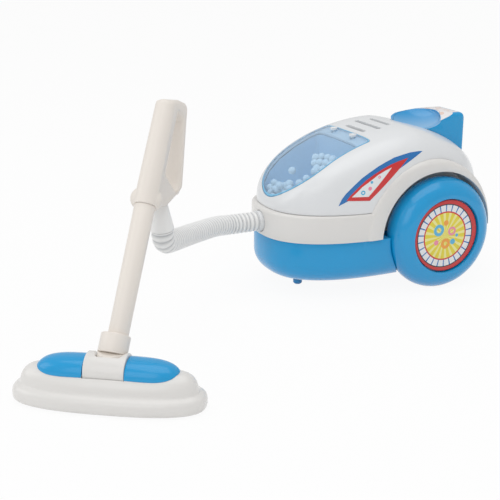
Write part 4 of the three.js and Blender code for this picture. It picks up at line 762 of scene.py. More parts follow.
class Finishes:
    """All materials, made once."""

    def __init__(self) -> None:
        """Builds the shared group and the plain finishes."""
        moulded_surface_group()
        self.blue = Plastic("blue_plastic", BLUE, 0.24, 0.025, coat=0.25).make()
        self.tyre_blue = Plastic("tyre_blue_plastic", BLUE, 0.2, 0.02, coat=0.35).make()
        self.white = Plastic("dome_white_plastic", WHITE, 0.24, 0.012, coat=0.2).make()
        self.ivory = Plastic("ivory_plastic", IVORY, 0.26, 0.012, coat=0.2).make()
        self.warm = Plastic("wand_plastic", WARM_WHITE, 0.36, 0.015).make()
        # The hose's grooves carry painted shade.
        self.hose = Plastic("hose_plastic", HOSE_GREY, 0.42, 0.012).make(paint_groove_shade)
        self.cuff = Plastic("cuff_plastic", srgb("F3F3F2"), 0.38, 0.012).make()
        self.chamber = Plastic("chamber_plastic", srgb("CFE2F1"), 0.35, 0.03).make()
        # The blue strip round the pane's edge is a painted highlight of light through that edge.
        self.edge = Plastic("pane_edge_painted_highlight", srgb("7CC3E8"), 0.2, 0.02, coat=0.3).make()
        foam = Plastic("foam_bead", srgb("F6F6F5"), 0.85, 0.05, 2600.0, 0.0, 0.35, specular=0.25)
        steel = Plastic("screw_steel", srgb("B9BCC0"), 0.34, 0.05, 1800.0, 0.2, 0.05, metallic=1.0)
        self.foam = foam.make()
        self.steel = steel.make()
        self.jacket = Plastic("cell_jacket", srgb("B58F3C"), 0.3, 0.03, metallic=0.6).make()
        self.black = Plastic("switch_black", BLACK, 0.45, 0.05).make()
        self.inner = Plastic("inner_white_plastic", srgb("E6E6E4"), 0.45, 0.03).make()
        self.clear = ClearPlastic().make()


def dress(
    piece: Solid, material: Material, body: str, slot: str, *nodes: str
) -> Solid:
    """Gives a piece its material, its body and the solids that it stands for.

    Args:
        piece: The finished piece.
        material: Its material.
        body: The body that it rides on.
        slot: The record's material slot, which is not used.
        nodes: The solids that it replaces.

    Returns:
        The same piece.
    """
    coat(piece, material)
    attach(piece, body)
    if nodes:
        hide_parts(*nodes)
    LOG.info("%s rides on %s", piece.name, body)
    return piece


class PointTree:
    """A Geometry Nodes tree that sets one small shape on each point of a mesh."""

    def __init__(self, name: str) -> None:
        """Makes an empty tree with named inputs."""
        self.tree = bpy.data.node_groups.new(name, "GeometryNodeTree")
        self.tree.interface.new_socket("Geometry", in_out="INPUT", socket_type="NodeSocketGeometry")
        self.tree.interface.new_socket("Geometry", in_out="OUTPUT", socket_type="NodeSocketGeometry")
        self.nodes = Nodes(self.tree)
        self.inputs: dict[str, str] = {}

    def value(self, name: str, kind: str = "NodeSocketFloat") -> None:
        """Adds a named input."""
        self.inputs[name] = self.tree.interface.new_socket(name, in_out="INPUT", socket_type=kind).identifier

    def close(self, given: bpy.types.Node, shape: Socket) -> PointTree:
        """Makes the tree's shape plain mesh, smooth and painted, and sends it out.

        Args:
            given: The tree's inputs.
            shape: The shape to finish.

        Returns:
            The finished tree.
        """
        n = self.nodes
        real = n.add("GeometryNodeRealizeInstances", {0: shape})
        soft = n.add("GeometryNodeSetShadeSmooth", {"Geometry": real.outputs[0]})
        painted = n.add("GeometryNodeSetMaterial", {
            "Geometry": soft.outputs[0], "Material": given.outputs["Material"],
        })
        n.add("NodeGroupOutput", {0: painted.outputs[0]})
        return self

    def run(self, obj: Solid, values: dict[str, object]) -> Solid:
        """Runs the tree on an object and keeps the plain mesh.

        Args:
            obj: The object with the points or the path.
            values: The inputs' values by name.

        Returns:
            The object with the tree's mesh.
        """
        modifier = obj.modifiers.new(self.tree.name, "NODES")
        modifier.node_group = self.tree
        for name, value in values.items():
            modifier[self.inputs[name]] = value
        return Form.apply(obj)


def bead_tree() -> PointTree:
    """Makes the tree that sets a foam bead on each point, each of its own size."""
    made = PointTree("foam_beads")
    made.value("Radius")
    made.value("Seed", "NodeSocketInt")
    made.value("Material", "NodeSocketMaterial")
    n = made.nodes
    given = n.add("NodeGroupInput")
    ball = n.add("GeometryNodeMeshIcoSphere", {"Radius": given.outputs["Radius"], "Subdivisions": 3})
    sizes = {2: 0.86, 3: 1.0, "Seed": given.outputs["Seed"]}
    size = n.add("FunctionNodeRandomValue", sizes, data_type="FLOAT")
    placed = n.add("GeometryNodeInstanceOnPoints", {
        "Points": given.outputs["Geometry"], "Instance": ball.outputs["Mesh"], "Scale": size.outputs[1],
    })
    return made.close(given, placed.outputs[0])


def hose_tree() -> PointTree:
    """Makes the tree that runs a ribbed wall along a path."""
    made = PointTree("ribbed_wall")
    for name in ("Radius", "Groove", "Pitch"):
        made.value(name)
    made.value("Rings", "NodeSocketInt")
    made.value("Material", "NodeSocketMaterial")
    n = made.nodes
    given = n.add("NodeGroupInput")
    line = n.add("GeometryNodeMeshToCurve", {0: given.outputs["Geometry"]})
    even = n.add("GeometryNodeResampleCurve", {"Curve": line.outputs[0], "Count": given.outputs["Rings"]})
    along = n.add("GeometryNodeSplineParameter").outputs["Length"]
    wave = n.math("COSINE", n.math("MULTIPLY", n.math("DIVIDE", along, given.outputs["Pitch"]), 2 * math.pi))
    lift = n.math("POWER", n.math("MULTIPLY", n.math("ADD", 1.0, wave), 0.5), 0.4)
    depth = n.math("SUBTRACT", 1.0, lift)
    sunk = n.math("MULTIPLY", depth, given.outputs["Groove"])
    radius = n.math("SUBTRACT", given.outputs["Radius"], sunk)
    ring = n.add("GeometryNodeCurvePrimitiveCircle", {"Resolution": 40, "Radius": 1.0})
    # The groove depth is stored for the hose material, which uses it to paint shade into the grooves.
    marked = n.add("GeometryNodeStoreNamedAttribute", {
        "Geometry": even.outputs[0], "Name": "groove", "Value": depth,
    }, data_type="FLOAT", domain="POINT")
    wall = n.add("GeometryNodeCurveToMesh", {
        "Curve": marked.outputs[0], "Profile Curve": ring.outputs[0], "Scale": radius, "Fill Caps": True,
    })
    return made.close(given, wall.outputs[0])


def point_object(name: str, points: Sequence[Vector], path: bool = False) -> Solid:
    """Makes an object of bare points, or of one path through them, in metres.

    Args:
        name: The object's name.
        points: The points in millimetres.
        path: Whether edges join them in order.

    Returns:
        The object.
    """
    mesh = bpy.data.meshes.new(name)
    edges = [(k, k + 1) for k in range(len(points) - 1)] if path else []
    mesh.from_pydata([tuple(p * MM) for p in points], edges, [])
    return link_object(name, mesh)


@dataclass
class Canister:
    """The bubble-shaped canister on its two wheels, measured forward from the axle."""

    finishes: Finishes
    axle: Vector
    front: float = 94
    rear: float = 44
    half_width: float = 40
    middle: float = 28
    plan_power: float = 2.5
    clearance: float = 8.5
    base_inset: float = 1.2
    base_round: float = 12
    wall: float = 2
    seam: float = 33
    ledge: float = 48.5
    ledge_thickness: float = 1.6
    ledge_round: float = 1.4
    ledge_front: float = 3
    ledge_side: float = 1
    ledge_rear: float = 2
    fender_radius: float = 41.2
    fender_forward: float = 7
    fender_height: float = 33.5
    fender_face: float = 40
    fender_round: float = 3.2
    well_face: float = 26
    well_wall: float = 2
    well_radius: float = 35.6
    well_forward: float = 2.6
    well_reach: float = 66.5
    wheel_gap: float = 0.4
    axle_hole_radius: float = 1.8
    axle_hole_half: float = 27
    boss_radius: float = 4.2
    boss_share: float = 0.8
    boss_turns: Point2 = (55, 158)
    screw_hole_radius: float = 2.9
    screw_hole_depth: float = 29
    skirt_mouth: float = 7.6
    inlet_height: float = 40.5
    inlet_hole: float = 6.2
    dome_height: float = 41.5
    dome_wall: float = 2.6
    dome_crest: float = 12
    front_curve: Point2 = (1.75, 1.6)
    rear_curve: Point2 = (1.35, 2.3)
    section_power: float = 4.5
    rear_section: float = 2.6
    window_top: float = 38.3
    window_tip: float = 89.3
    window_half: float = 24.6
    window_shoulder: float = 66
    window_lip: float = 1.5
    window_top_lip: float = 7
    window_corner: float = 2.5
    window_fullness: float = 0.6
    window_screw: float = 10.5
    window_screw_hole: float = 1.5
    pane: float = 1.2
    pane_rim: float = 0.5
    vent_halves: Point3 = (10.0, 13.3, 10.0)
    vent_round: float = 1.3
    vent_front: float = 33.8
    vent_pitch: float = 7.9
    wheel_radius: float = 32
    tyre_round: float = 10
    wheel_offset: float = 36.5
    hub_radius: float = 20.6
    hub_depth: float = 3.3
    hub_room: float = 0.7
    hub_thickness: float = 1.6
    hub_edge: float = 0.4
    nut_radius: float = 4.5
    nut_depth: float = 2.2
    button_back: float = 7
    button_half_length: float = 14.2
    button_half_width: float = 10.5
    button_foot: float = 85.5
    button_travel: float = 2
    stem_radius: float = 2.2
    stem_foot: float = 81.3
    stem_length: float = 5
    tail_half_width: float = 12
    tail_front: float = 8.7
    tail_back: float = 33
    tail_corner: float = 4
    tail_round: float = 2.4
    tail_front_height: float = 90.6
    tail_crest: float = 94.7
    tail_top: float = 93.5
    tail_edge: float = 89.5
    tail_foot: float = 55
    tail_foot_back: float = 25
    label_slope: float = 0.16
    label_front: float = 90.9
    label_top: float = 92.6
    scoop_place: Point3 = (1.8, 3.5, 92.2)
    scoop_lean: float = 16
    scoop_axes: Point3 = (14.8, 16.5, 5.0)
    facet_slope: Point2 = (0.338, -0.253)
    facet_height: float = 87.85
    facet_start: float = 10.8
    tail_dots: tuple[Dot, ...] = (
        Dot(-6.4, 19.0, 1.7, PEACH), Dot(-2.6, 23.6, 1.2, PEACH), Dot(2.4, 26.2, 1.9, PEACH, 0.5),
        Dot(6.6, 19.8, 1.5, PEACH), Dot(-6.0, 26.4, 2.0, PEACH, 0.5), Dot(6.4, 24.6, 0.9, PEACH),
    )
    clinging_beads: tuple[Point3, ...] = (
        (1.0, -81.3, 59.2), (7.3, -79.0, 61.6), (10.7, -80.7, 59.7), (14.5, -76.8, 63.3),
        (16.3, -73.4, 65.8), (16.5, -68.5, 69.3), (-0.7, -73.3, 66.5), (4.1, -61.2, 73.8),
        (7.3, -59.2, 74.8), (12.3, -58.2, 75.2), (17.2, -57.8, 75.1), (9.0, -64.5, 72.0),
        (12.0, -63.0, 72.8), (16.3, -61.7, 73.3), (20.5, -60.9, 73.0), (15.4, -66.7, 70.6),
        (19.3, -65.1, 70.9), (21.0, -67.9, 68.8),
    )
    bead_radius: float = 2.2
    tray_floor: float = 1.5
    heaps: tuple[tuple[float, float, float, float, int], ...] = (
        (0.0, 84.0, 15.0, 7.0, 26), (17.0, 60.0, 4.5, 8.0, 24), (-10.0, 80.0, 7.0, 5.0, 6),
    )
    section_turns: list[float] = field(default_factory=list)

    def __post_init__(self) -> None:
        """Spreads the dome section's points evenly along its outline."""
        fine = 2000
        turns = [math.pi * k / fine for k in range(fine + 1)]
        flat = [self.section_point(t) for t in turns]
        lengths = [0.0]
        for a, b in zip(flat, flat[1:]):
            lengths.append(lengths[-1] + math.dist(a, b))
        span, k = 72, 0
        for i in range(span + 1):
            goal = lengths[-1] * i / span
            while k < fine and lengths[k] < goal:
                k += 1
            self.section_turns.append(turns[k])

    @property
    def ground(self) -> Vector:
        """The point on the ground below the axle, in millimetres."""
        return Vector((self.axle.x, self.axle.y, 0))

    @property
    def place(self) -> Matrix:
        """The canister's frame, at the ground below the axle, in millimetres."""
        return Matrix.Translation(self.ground)

    def section_point(self, turn: float) -> Point2:
        """A point of the dome's section, as shares of its half-width and height."""
        power = 2 / self.section_power
        return signed_power(math.cos(turn), power) * 0.95, abs(math.sin(turn)) ** power

    def ring(self, inset: float, z: float, count: int = 144) -> list[Vector]:
        """The body's outline at one height.

        Args:
            inset: How far it is drawn in.
            z: Its height.
            count: Its points.

        Returns:
            The ring.
        """
        points = []
        for i in range(count):
            turn = 2 * math.pi * i / count
            along = signed_power(math.cos(turn), 2 / self.plan_power)
            across = signed_power(math.sin(turn), 2 / self.plan_power)
            reach = self.front - self.middle if along > 0 else self.rear + self.middle
            points.append(Vector((
                across * (self.half_width - inset), -(self.middle + along * (reach - inset)), z,
            )))
        return points

    def dome_size(self, forward: float, grow: float) -> tuple[float, float, float]:
        """Half-width, height and squareness of the dome at one place.

        Args:
            forward: The place, forward of the axle.
            grow: How far the dome is grown.

        Returns:
            The half-width, the height above the ledge and the power of the section.
        """
        front = self.front - self.ledge_front + grow
        rear = self.rear - self.ledge_rear + grow
        reach = front - self.middle if forward > self.middle else rear + self.middle
        share = min(abs(forward - self.middle) / reach, 1.0)
        width = self.half_width - self.ledge_side + grow
        width *= (1 - share ** self.plan_power) ** (1 / self.plan_power)
        ahead = forward > self.dome_crest
        reach = front - self.dome_crest if ahead else rear + self.dome_crest
        power, fullness = self.front_curve if ahead else self.rear_curve
        share = min(abs(forward - self.dome_crest) / reach, 1.0)
        section = self.section_power if ahead else lerp(self.section_power, self.rear_section, share)
        return width, (self.dome_height + grow) * (1 - share ** power) ** (1 / fullness), section

    def dome(self, name: str, grow: float, drop: float = 0.0) -> Solid:
        """The dome, grown or shrunk all over.

        Args:
            name: The object's name.
            grow: How far it is grown.
            drop: How far its sides run down below its foot.

        Returns:
            The closed object.
        """
        front = self.front - self.ledge_front + grow
        rear = self.rear - self.ledge_rear + grow
        foot = self.ledge + GAP
        stations = 96
        rings = []
        for k in range(1, stations):
            forward = (front - rear) / 2 + (front + rear) / 2 * math.cos(math.pi * k / stations)
            width, rise, section = self.dome_size(forward, grow)
            row = []
            for turn in self.section_turns:
                across = signed_power(math.cos(turn), 2 / section)
                up = abs(math.sin(turn)) ** (2 / section)
                row.append(Vector((width * across, -forward, foot + rise * up)))
            row[0].z = row[-1].z = foot
            if drop > 0:
                row.insert(0, Vector((width, -forward, foot - drop)))
                row.append(Vector((-width, -forward, foot - drop)))
            rings.append(row)
        return Form.loft(name, rings, (Vector((0, -front, foot)), Vector((0, rear, foot))), self.place)

    def on_dome(self, forward: float, z: float, side: Side, lift: float) -> Vector:
        """A point of the dome's flank.

        Args:
            forward: How far forward of the axle.
            z: Its height.
            side: Which flank.
            lift: How far it stands off the surface.

        Returns:
            The point in millimetres, before placing.
        """
        width, rise, section = self.dome_size(forward, lift)
        up = min(max((z - self.ledge - GAP) / rise, 0.0), 1.0)
        across = (1 - up ** section) ** (1 / section)
        return Vector((side.value * width * across, -forward, z))

    def along_x(self, side: Side) -> Matrix:
        """Turns a shape that stands on Z onto the axle, pointing outwards on one side."""
        return Matrix.Rotation(side.value * math.pi / 2, 4, "Y")

    def fender(self, side: Side, grow: float = 0.0) -> Solid:
        """The arch over one wheel, as a block that the wheel well is cut from.

        Args:
            side: Which wheel.
            grow: How far the block is grown.

        Returns:
            The closed object.
        """
        inner = self.well_face - self.well_wall - grow
        outer, radius, rounding = self.fender_face + grow, self.fender_radius + grow, self.fender_round
        profile = [(0, inner), (radius, inner)]
        profile += arc(radius - rounding, outer - rounding, rounding, 0, 90, 8)
        profile.append((0, outer))
        place = Matrix.Translation((0, -self.fender_forward, self.fender_height)) @ self.along_x(side)
        return Form.revolve("fender", profile, 144, self.place @ place)

    def well(self, side: Side, radius: float, forward: float) -> Solid:
        """The room that one wheel turns in.

        Args:
            side: Which wheel.
            radius: The room's radius.
            forward: How far its middle lies forward of the axle.

        Returns:
            The closed object.
        """
        near = Vector((side.value * self.well_face, -forward, self.wheel_radius))
        far = Vector((side.value * self.well_reach, -forward, self.wheel_radius))
        return Form.rod("well", radius, near + self.ground, far + self.ground, 144)

    def axle_hole(self) -> Solid:
        """The hole that the axle passes through."""
        middle = self.ground + Vector((0, 0, self.wheel_radius))
        half = Vector((self.axle_hole_half, 0, 0))
        return Form.rod("axle_hole", self.axle_hole_radius, middle - half, middle + half, 32)

    def case_bosses(self) -> list[Vector]:
        """Where the four case screws stand."""
        inset = self.base_inset + self.wall + self.boss_radius * self.boss_share
        power = 2 / self.plan_power
        found = []
        for degrees in self.boss_turns:
            for side in Side:
                turn = math.radians(degrees * side.value)
                along = signed_power(math.cos(turn), power)
                reach = self.front - self.middle if along > 0 else self.rear + self.middle
                found.append(Vector((
                    signed_power(math.sin(turn), power) * (self.half_width - inset),
                    -(self.middle + along * (reach - inset)), 0,
                )) + self.ground)
        return found

    def make_base(self) -> None:
        """Makes the blue lower shell with its wheel wells and its battery doorway."""
        steps = 14
        outer, inner = [], []
        for k in range(steps + 1):
            turn = math.pi / 2 * k / steps
            inset = self.base_inset + self.base_round * (1 - math.sin(turn))
            rise = self.base_round * (1 - math.cos(turn))
            outer.append(self.ring(inset, self.clearance + rise))
            inner.append(self.ring(inset + self.wall, self.clearance + self.wall + rise))
        outer.append(self.ring(self.base_inset, self.seam))
        inner.append(self.ring(self.base_inset + self.wall, self.seam + 1))
        shell = Form.loft("lower_shell", outer, place=self.place)
        whole = shell.copy()
        whole.data = shell.data.copy()
        bpy.context.scene.collection.objects.link(whole)
        Form.combine(shell, Join.CUT, Form.loft("inside", inner, place=self.place))
        walls = [self.fender(side) for side in Side]
        up = Vector((0, 0, self.seam))
        walls += [Form.rod("boss", self.boss_radius, p, p + up) for p in self.case_bosses()]
        low = self.place @ Vector((-100, -200, -10))
        high = self.place @ Vector((100, 200, self.seam))
        for wall in walls:
            Form.combine(wall, Join.COMMON, whole, keep=True)
            Form.combine(wall, Join.COMMON, Form.block("below_seam", low, high))
        Form.combine(shell, Join.ADD, *walls)
        bpy.data.objects.remove(whole)
        door_low, door_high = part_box("battery_door")
        low = Vector(door_low) / MM - Vector((GAP, GAP, 5))
        high = Vector(door_high) / MM + Vector((GAP, GAP, GAP))
        cuts = [self.well(side, self.wheel_radius + self.wheel_gap, 0) for side in Side]
        cuts += [self.axle_hole(), Form.block("doorway", low, high)]
        deep = Vector((0, 0, self.screw_hole_depth))
        rear_bosses = self.case_bosses()[2:]
        cuts += [Form.rod("screw_hole", self.screw_hole_radius, p, p + deep, 32) for p in rear_bosses]
        Form.combine(shell, Join.CUT, *cuts)
        Form.smooth(shell, 0.35)
        dress(shell, self.finishes.blue, "canister", "blue_plastic", "base_shell")

    def make_skirt(self) -> None:
        """Makes the ivory band with its two fenders."""
        foot = self.seam + GAP
        edge = self.ledge_round
        rings = [self.ring(0, foot)]
        rings += [self.ring(edge - r, self.ledge - edge + z) for r, z in arc(0, 0, edge, 0, 90, 6)]
        band = Form.loft("skirt", rings, place=self.place)
        inside = [self.ring(self.wall, foot - 1), self.ring(self.wall, self.ledge - self.ledge_thickness)]
        mouth = [self.ring(self.skirt_mouth, foot), self.ring(self.skirt_mouth, self.ledge + 1)]
        rooms = [Form.loft("room", rows, place=self.place) for rows in (inside, mouth)]
        Form.combine(band, Join.CUT, *rooms)
        fenders = [self.fender(side) for side in Side]
        low = self.place @ Vector((-100, -200, foot))
        high = self.place @ Vector((100, 200, 200))
        for fender in fenders:
            Form.combine(fender, Join.COMMON, Form.block("above_seam", low, high))
        Form.combine(band, Join.ADD, *fenders)
        ends = [self.ground + Vector((0, reach - self.front, self.inlet_height)) for reach in (-5, 12)]
        hole = Form.rod("hose_hole", self.inlet_hole, *ends)
        wells = [self.well(side, self.well_radius, self.well_forward) for side in Side]
        Form.combine(band, Join.CUT, *wells, self.axle_hole(), hole)
        Form.smooth(band, 0.4)
        dress(band, self.finishes.ivory, "canister", "ivory_plastic", "skirt_band")

    def window_outline(self, inset: float, top_inset: float) -> list[Point2]:
        """The window's outline in plan.

        Args:
            inset: How far the sides and the tip are drawn in.
            top_inset: How far the top edge is drawn in.

        Returns:
            The closed outline.
        """
        half, corner, full = self.window_half - inset, self.window_corner, self.window_fullness
        top, tip = -(self.window_top + top_inset), -(self.window_tip - inset)
        shoulder = -self.window_shoulder
        low = shoulder + full * (tip - shoulder)
        outline: list[Point2] = [(half - corner, top)]
        outline += bezier([(half - corner, top), (half, top), (half, top - corner)], 8)
        outline.append((half, shoulder))
        outline += bezier([(half, shoulder), (half, low), (full * half, tip), (0, tip)], 32)
        outline += bezier([(0, tip), (-full * half, tip), (-half, low), (-half, shoulder)], 32)
        outline.append((-half, top - corner))
        outline += bezier([(-half, top - corner), (-half, top), (-half + corner, top)], 8)
        return outline

    def window_block(self, inset: float, top_inset: float) -> Solid:
        """The window's outline as an upright block."""
        return Form.prism(
            "window_block", self.window_outline(inset, top_inset), self.ledge, self.ledge + 80, self.place,
        )

    def vent(self, index: int) -> Solid:
        """One of the three slots on the dome's top."""
        half, end = self.vent_halves[index], self.vent_round
        y = -(self.vent_front - self.vent_pitch * index)
        outline = arc(half - end, y, end, -90, 90, 10) + arc(end - half, y, end, 90, 270, 10)
        return Form.prism("vent", outline, self.ledge + 20, self.ledge + 80, self.place)

    def button_block(self, grow: float, low: float, high: float) -> Solid:
        """The power button's oval as an upright block."""
        wide, long = self.button_half_width + grow, self.button_half_length + grow
        outline = [(x * wide, y * long + self.button_back) for x, y in circle(1, 96)]
        return Form.prism("button_block", outline, low, high, self.place)

    def screw_places(self) -> list[Vector]:
        """Where the two window screws stand, on the ground."""
        y = -(self.window_top + self.window_top_lip / 2)
        return [self.place @ Vector((side.value * self.window_screw, y, 0)) for side in Side]

    def screw_holes(self, radius: float) -> list[Solid]:
        """Upright holes for the window screws."""
        return [
            Form.rod("screw_hole", radius, p + Vector((0, 0, 60)), p + Vector((0, 0, 120)), 24)
            for p in self.screw_places()
        ]

    def make_dome(self) -> None:
        """Makes the white dome with its window opening and vents, the clear pane and a thin blue strip round
        the pane that paints the highlight of its edge.
        """
        cover = self.dome("dome", 0)
        rebate = Form.combine(self.window_block(0, 0), Join.CUT, self.dome("rebate", -self.pane - GAP))
        Form.combine(cover, Join.CUT, self.dome("inside", -self.dome_wall, 2), rebate)
        Form.combine(cover, Join.CUT, self.window_block(self.window_lip, self.window_top_lip))
        Form.combine(
            cover, Join.CUT, *[self.vent(i) for i in range(3)], self.button_block(0.5, self.ledge + 20, 200),
            *[self.fender(side, 0.05) for side in Side], *self.screw_holes(self.window_screw_hole),
        )
        Form.smooth(cover, 0.4)
        dress(cover, self.finishes.white, "canister", "white_plastic", "dome_cover")
        pane = Form.combine(self.dome("clear_pane", 0), Join.COMMON, self.window_block(GAP, GAP))
        Form.combine(pane, Join.CUT, self.dome("under", -self.pane))
        Form.smooth(pane, 0.15)
        dress(pane, self.finishes.clear, "canister", "window_plastic", "window_pane")
        # A thin blue strip round the pane: a painted highlight of its edge.
        rim = Form.combine(self.dome("pane_edge", 0.03), Join.COMMON, self.window_block(GAP, GAP))
        inset = GAP + self.pane_rim
        Form.combine(rim, Join.CUT, self.dome("under", -GAP), self.window_block(inset, inset))
        dress(Form.smooth(rim), self.finishes.edge, "canister", "window_plastic")

    def tail_outline(self) -> list[Point2]:
        """The tail handle's side view, as back and up."""
        corner = self.tail_back - self.tail_corner
        nose, top = (-self.tail_front, self.tail_front_height), (corner, self.tail_top)
        outline: list[Point2] = [nose]
        outline += bezier([nose, (self.button_back, self.tail_crest), top], 24)
        outline += bezier([top, (self.tail_back, self.tail_top), (self.tail_back, self.tail_edge)], 10)
        outline += [(self.tail_back, self.tail_foot), (self.tail_foot_back, self.tail_foot)]
        outline.append((-self.tail_front - self.tail_round, self.button_foot))
        return outline

    def tail_plan(self) -> list[Point2]:
        """The tail handle from above: half an oval round the button, then straight sides."""
        half, nose = self.tail_half_width, self.tail_front + self.button_back
        oval = [(half * x, self.button_back + nose * y) for x, y in arc(0, 0, 1, 0, -180, 48)]
        return [(-half, self.tail_back + 1), (half, self.tail_back + 1), *oval]

    def tail_block(self) -> Solid:
        """The tail handle before it is cut to the dome."""
        loops, place = [self.tail_outline()], self.place @ SIDE_VIEW
        block = Form.plate("tail_block", loops, self.tail_half_width, self.tail_round, place, 6)
        plan = Form.prism("tail_plan", self.tail_plan(), self.ledge, self.ledge + 80, self.place)
        return Form.combine(block, Join.COMMON, plan)

    def paint_tail(self, n: Nodes) -> Socket:
        """Wires the pale label round the button on the tail's blue plastic, and the dish's blue with a painted
        sheen that pales it towards one side.

        Args:
            n: The material's tree.

        Returns:
            The colour socket.
        """
        place = n.add("ShaderNodeTexCoord").outputs["Object"]
        moved = n.add("ShaderNodeMapping", {"Vector": place, "Location": -self.ground * MM}).outputs[0]
        axes = n.add("ShaderNodeSeparateXYZ", {0: moved})
        across, back, up = axes.outputs[0], axes.outputs[1], axes.outputs[2]
        reach = self.tail_half_width - self.tail_round + 0.2
        wide = n.math("LESS_THAN", n.math("ABSOLUTE", across), reach * MM)
        long = n.math("LESS_THAN", back, (self.tail_back - self.tail_corner + 0.6) * MM)
        rising = n.math("ADD", n.math("MULTIPLY", back, self.label_slope), self.label_front * MM)
        high = n.math("GREATER_THAN", up, n.math("MINIMUM", rising, self.label_top * MM))
        label = n.math("MULTIPLY", n.math("MULTIPLY", wide, long), high)
        rise_back, rise_across = self.facet_slope
        facet = n.math("ADD", n.math("MULTIPLY", back, rise_back), n.math("MULTIPLY", across, rise_across))
        facet = n.math("ADD", facet, (self.facet_height - 0.12) * MM)
        behind = n.math("GREATER_THAN", back, (self.facet_start + 0.1) * MM)
        label = n.math("MAXIMUM", label, n.math("MULTIPLY", n.math("GREATER_THAN", up, facet), behind))
        spots = paint_dots(n, n.plain(LABEL_WHITE), self.tail_dots, across, back)
        # The dish's blue pales along the tilted ball's first axis: a painted sheen, the reflection of light in
        # the glossy hollow.
        local = n.add("ShaderNodeMapping", {
            "Vector": place, "Location": self.scoop_middle * MM,
            "Rotation": (0.0, math.radians(self.scoop_lean), 0.0), "Scale": Vector(self.scoop_axes) * MM,
        }, vector_type="TEXTURE").outputs[0]
        reach = n.add("ShaderNodeVectorMath", {0: local}, operation="LENGTH").outputs["Value"]
        slope = n.add("ShaderNodeSeparateXYZ", {0: local}).outputs[0]
        painted_sheen = n.math("MULTIPLY_ADD", slope, 0.62, 0.42)
        painted_sheen = n.math("MINIMUM", n.math("MAXIMUM", painted_sheen, 0.0), 1.0)
        dish = n.mix(painted_sheen, DISH_BLUE, DISH_SHEEN_PALE)
        return n.mix(n.math("LESS_THAN", reach, 1.025), n.mix(label, BLUE, spots), dish)

    @property
    def scoop_middle(self) -> Vector:
        """The middle of the ball that hollows the tail and the button, in millimetres."""
        return self.place @ Vector(self.scoop_place)

    def facet(self) -> Solid:
        """The room above the slanted facet on the tail's left top edge."""
        rise_back, rise_across = self.facet_slope
        corners = ((-40, self.facet_start), (40, self.facet_start), (40, 60), (-40, 60))
        low = [Vector((x, y, self.facet_height + rise_back * y + rise_across * x)) for x, y in corners]
        high = [p + Vector((0, 0, 60)) for p in low]
        return Form.loft("facet", [low, high], place=self.place)

    def scoop(self) -> Solid:
        """The flattened ball that hollows the tail and the button."""
        place = Matrix.Translation(self.scoop_middle) @ turn_about("Y", self.scoop_lean)
        return Form.ball("scoop", 128, 64, place @ Matrix.Diagonal((*self.scoop_axes, 1)))

    def make_tail(self) -> None:
        """Makes the tail handle and the dished power button in it."""
        tail = self.tail_block()
        tail.name = "tail"
        rooms = [self.dome("dome_room", 0.1, 10), self.button_block(0.15, self.ledge, 200)]
        Form.combine(tail, Join.CUT, *rooms, self.scoop(), self.facet())
        Form.smooth(tail, 0.3)
        label = Plastic("tail_label", BLUE, 0.24, 0.02, coat=0.25).make(self.paint_tail)
        dress(tail, label, "canister", "blue_plastic", "tail_handle")
        button = Form.combine(self.button_block(0, self.button_foot, 200), Join.COMMON, self.tail_block())
        button.name = "button"
        Form.combine(button, Join.CUT, self.scoop(), self.facet())
        foot = self.place @ Vector((0, self.button_back, self.stem_foot))
        stem = Form.rod("stem", self.stem_radius, foot, foot + Vector((0, 0, self.stem_length)))
        Form.combine(button, Join.ADD, stem)
        Form.smooth(button, 0.3)
        glossy = Plastic("button_plastic", BLUE, 0.2, 0.02, coat=0.35).make(self.paint_tail)
        dress(button, glossy, "power_button", "blue_plastic", "power_button")

    def make_wheels(self) -> None:
        """Makes both wheels with their printed hub discs."""
        inner = self.wheel_offset - self.tyre_round
        shoulder = self.wheel_radius - self.tyre_round
        floor = 2 * self.tyre_round - self.hub_depth
        recess, bore, nut = self.hub_radius + self.hub_room, self.axle_hole_radius, self.nut_radius
        profile = [(bore, 1), (shoulder - 4, 1)]
        profile += [(r, self.tyre_round + z) for r, z in arc(shoulder, 0, self.tyre_round, -90, 90, 40)]
        profile += arc(recess + 0.5, 2 * self.tyre_round - 0.5, 0.5, 90, 180, 5)
        profile += [(recess, floor), (nut, floor), (nut, floor - self.nut_depth)]
        profile += [(bore, floor - self.nut_depth), (bore, 1)]
        foot, edge, thick = floor + GAP, self.hub_edge, self.hub_thickness
        disc = [(0, foot), (self.hub_radius, foot)]
        disc += arc(self.hub_radius - edge, foot + thick - edge, edge, 0, 90, 4) + [(0, foot + thick)]
        middle = self.place @ Vector((0, -0.85, self.wheel_radius)) * MM
        print_ = HubPrint(self.hub_radius - 0.3, middle)
        vinyl = Plastic("hub_print", PRINT_WHITE, 0.22, 0.01, coat=0.3).make(print_.paint)
        for side in Side:
            name = side.label
            place = self.place @ Matrix.Translation((0, 0, self.wheel_radius)) @ self.along_x(side)
            place = place @ Matrix.Translation((0, 0, inner))
            wheel = Form.smooth(Form.revolve(f"tyre_{name}", profile, 160, place), 0, 40)
            dress(wheel, self.finishes.tyre_blue, f"wheel_{name}", "blue_plastic", f"wheel_{name}")
            hub = Form.smooth(Form.revolve(f"hub_{name}", disc, 128, place))
            dress(hub, vinyl, f"wheel_{name}", "white_plastic", f"hub_disc_{name}")

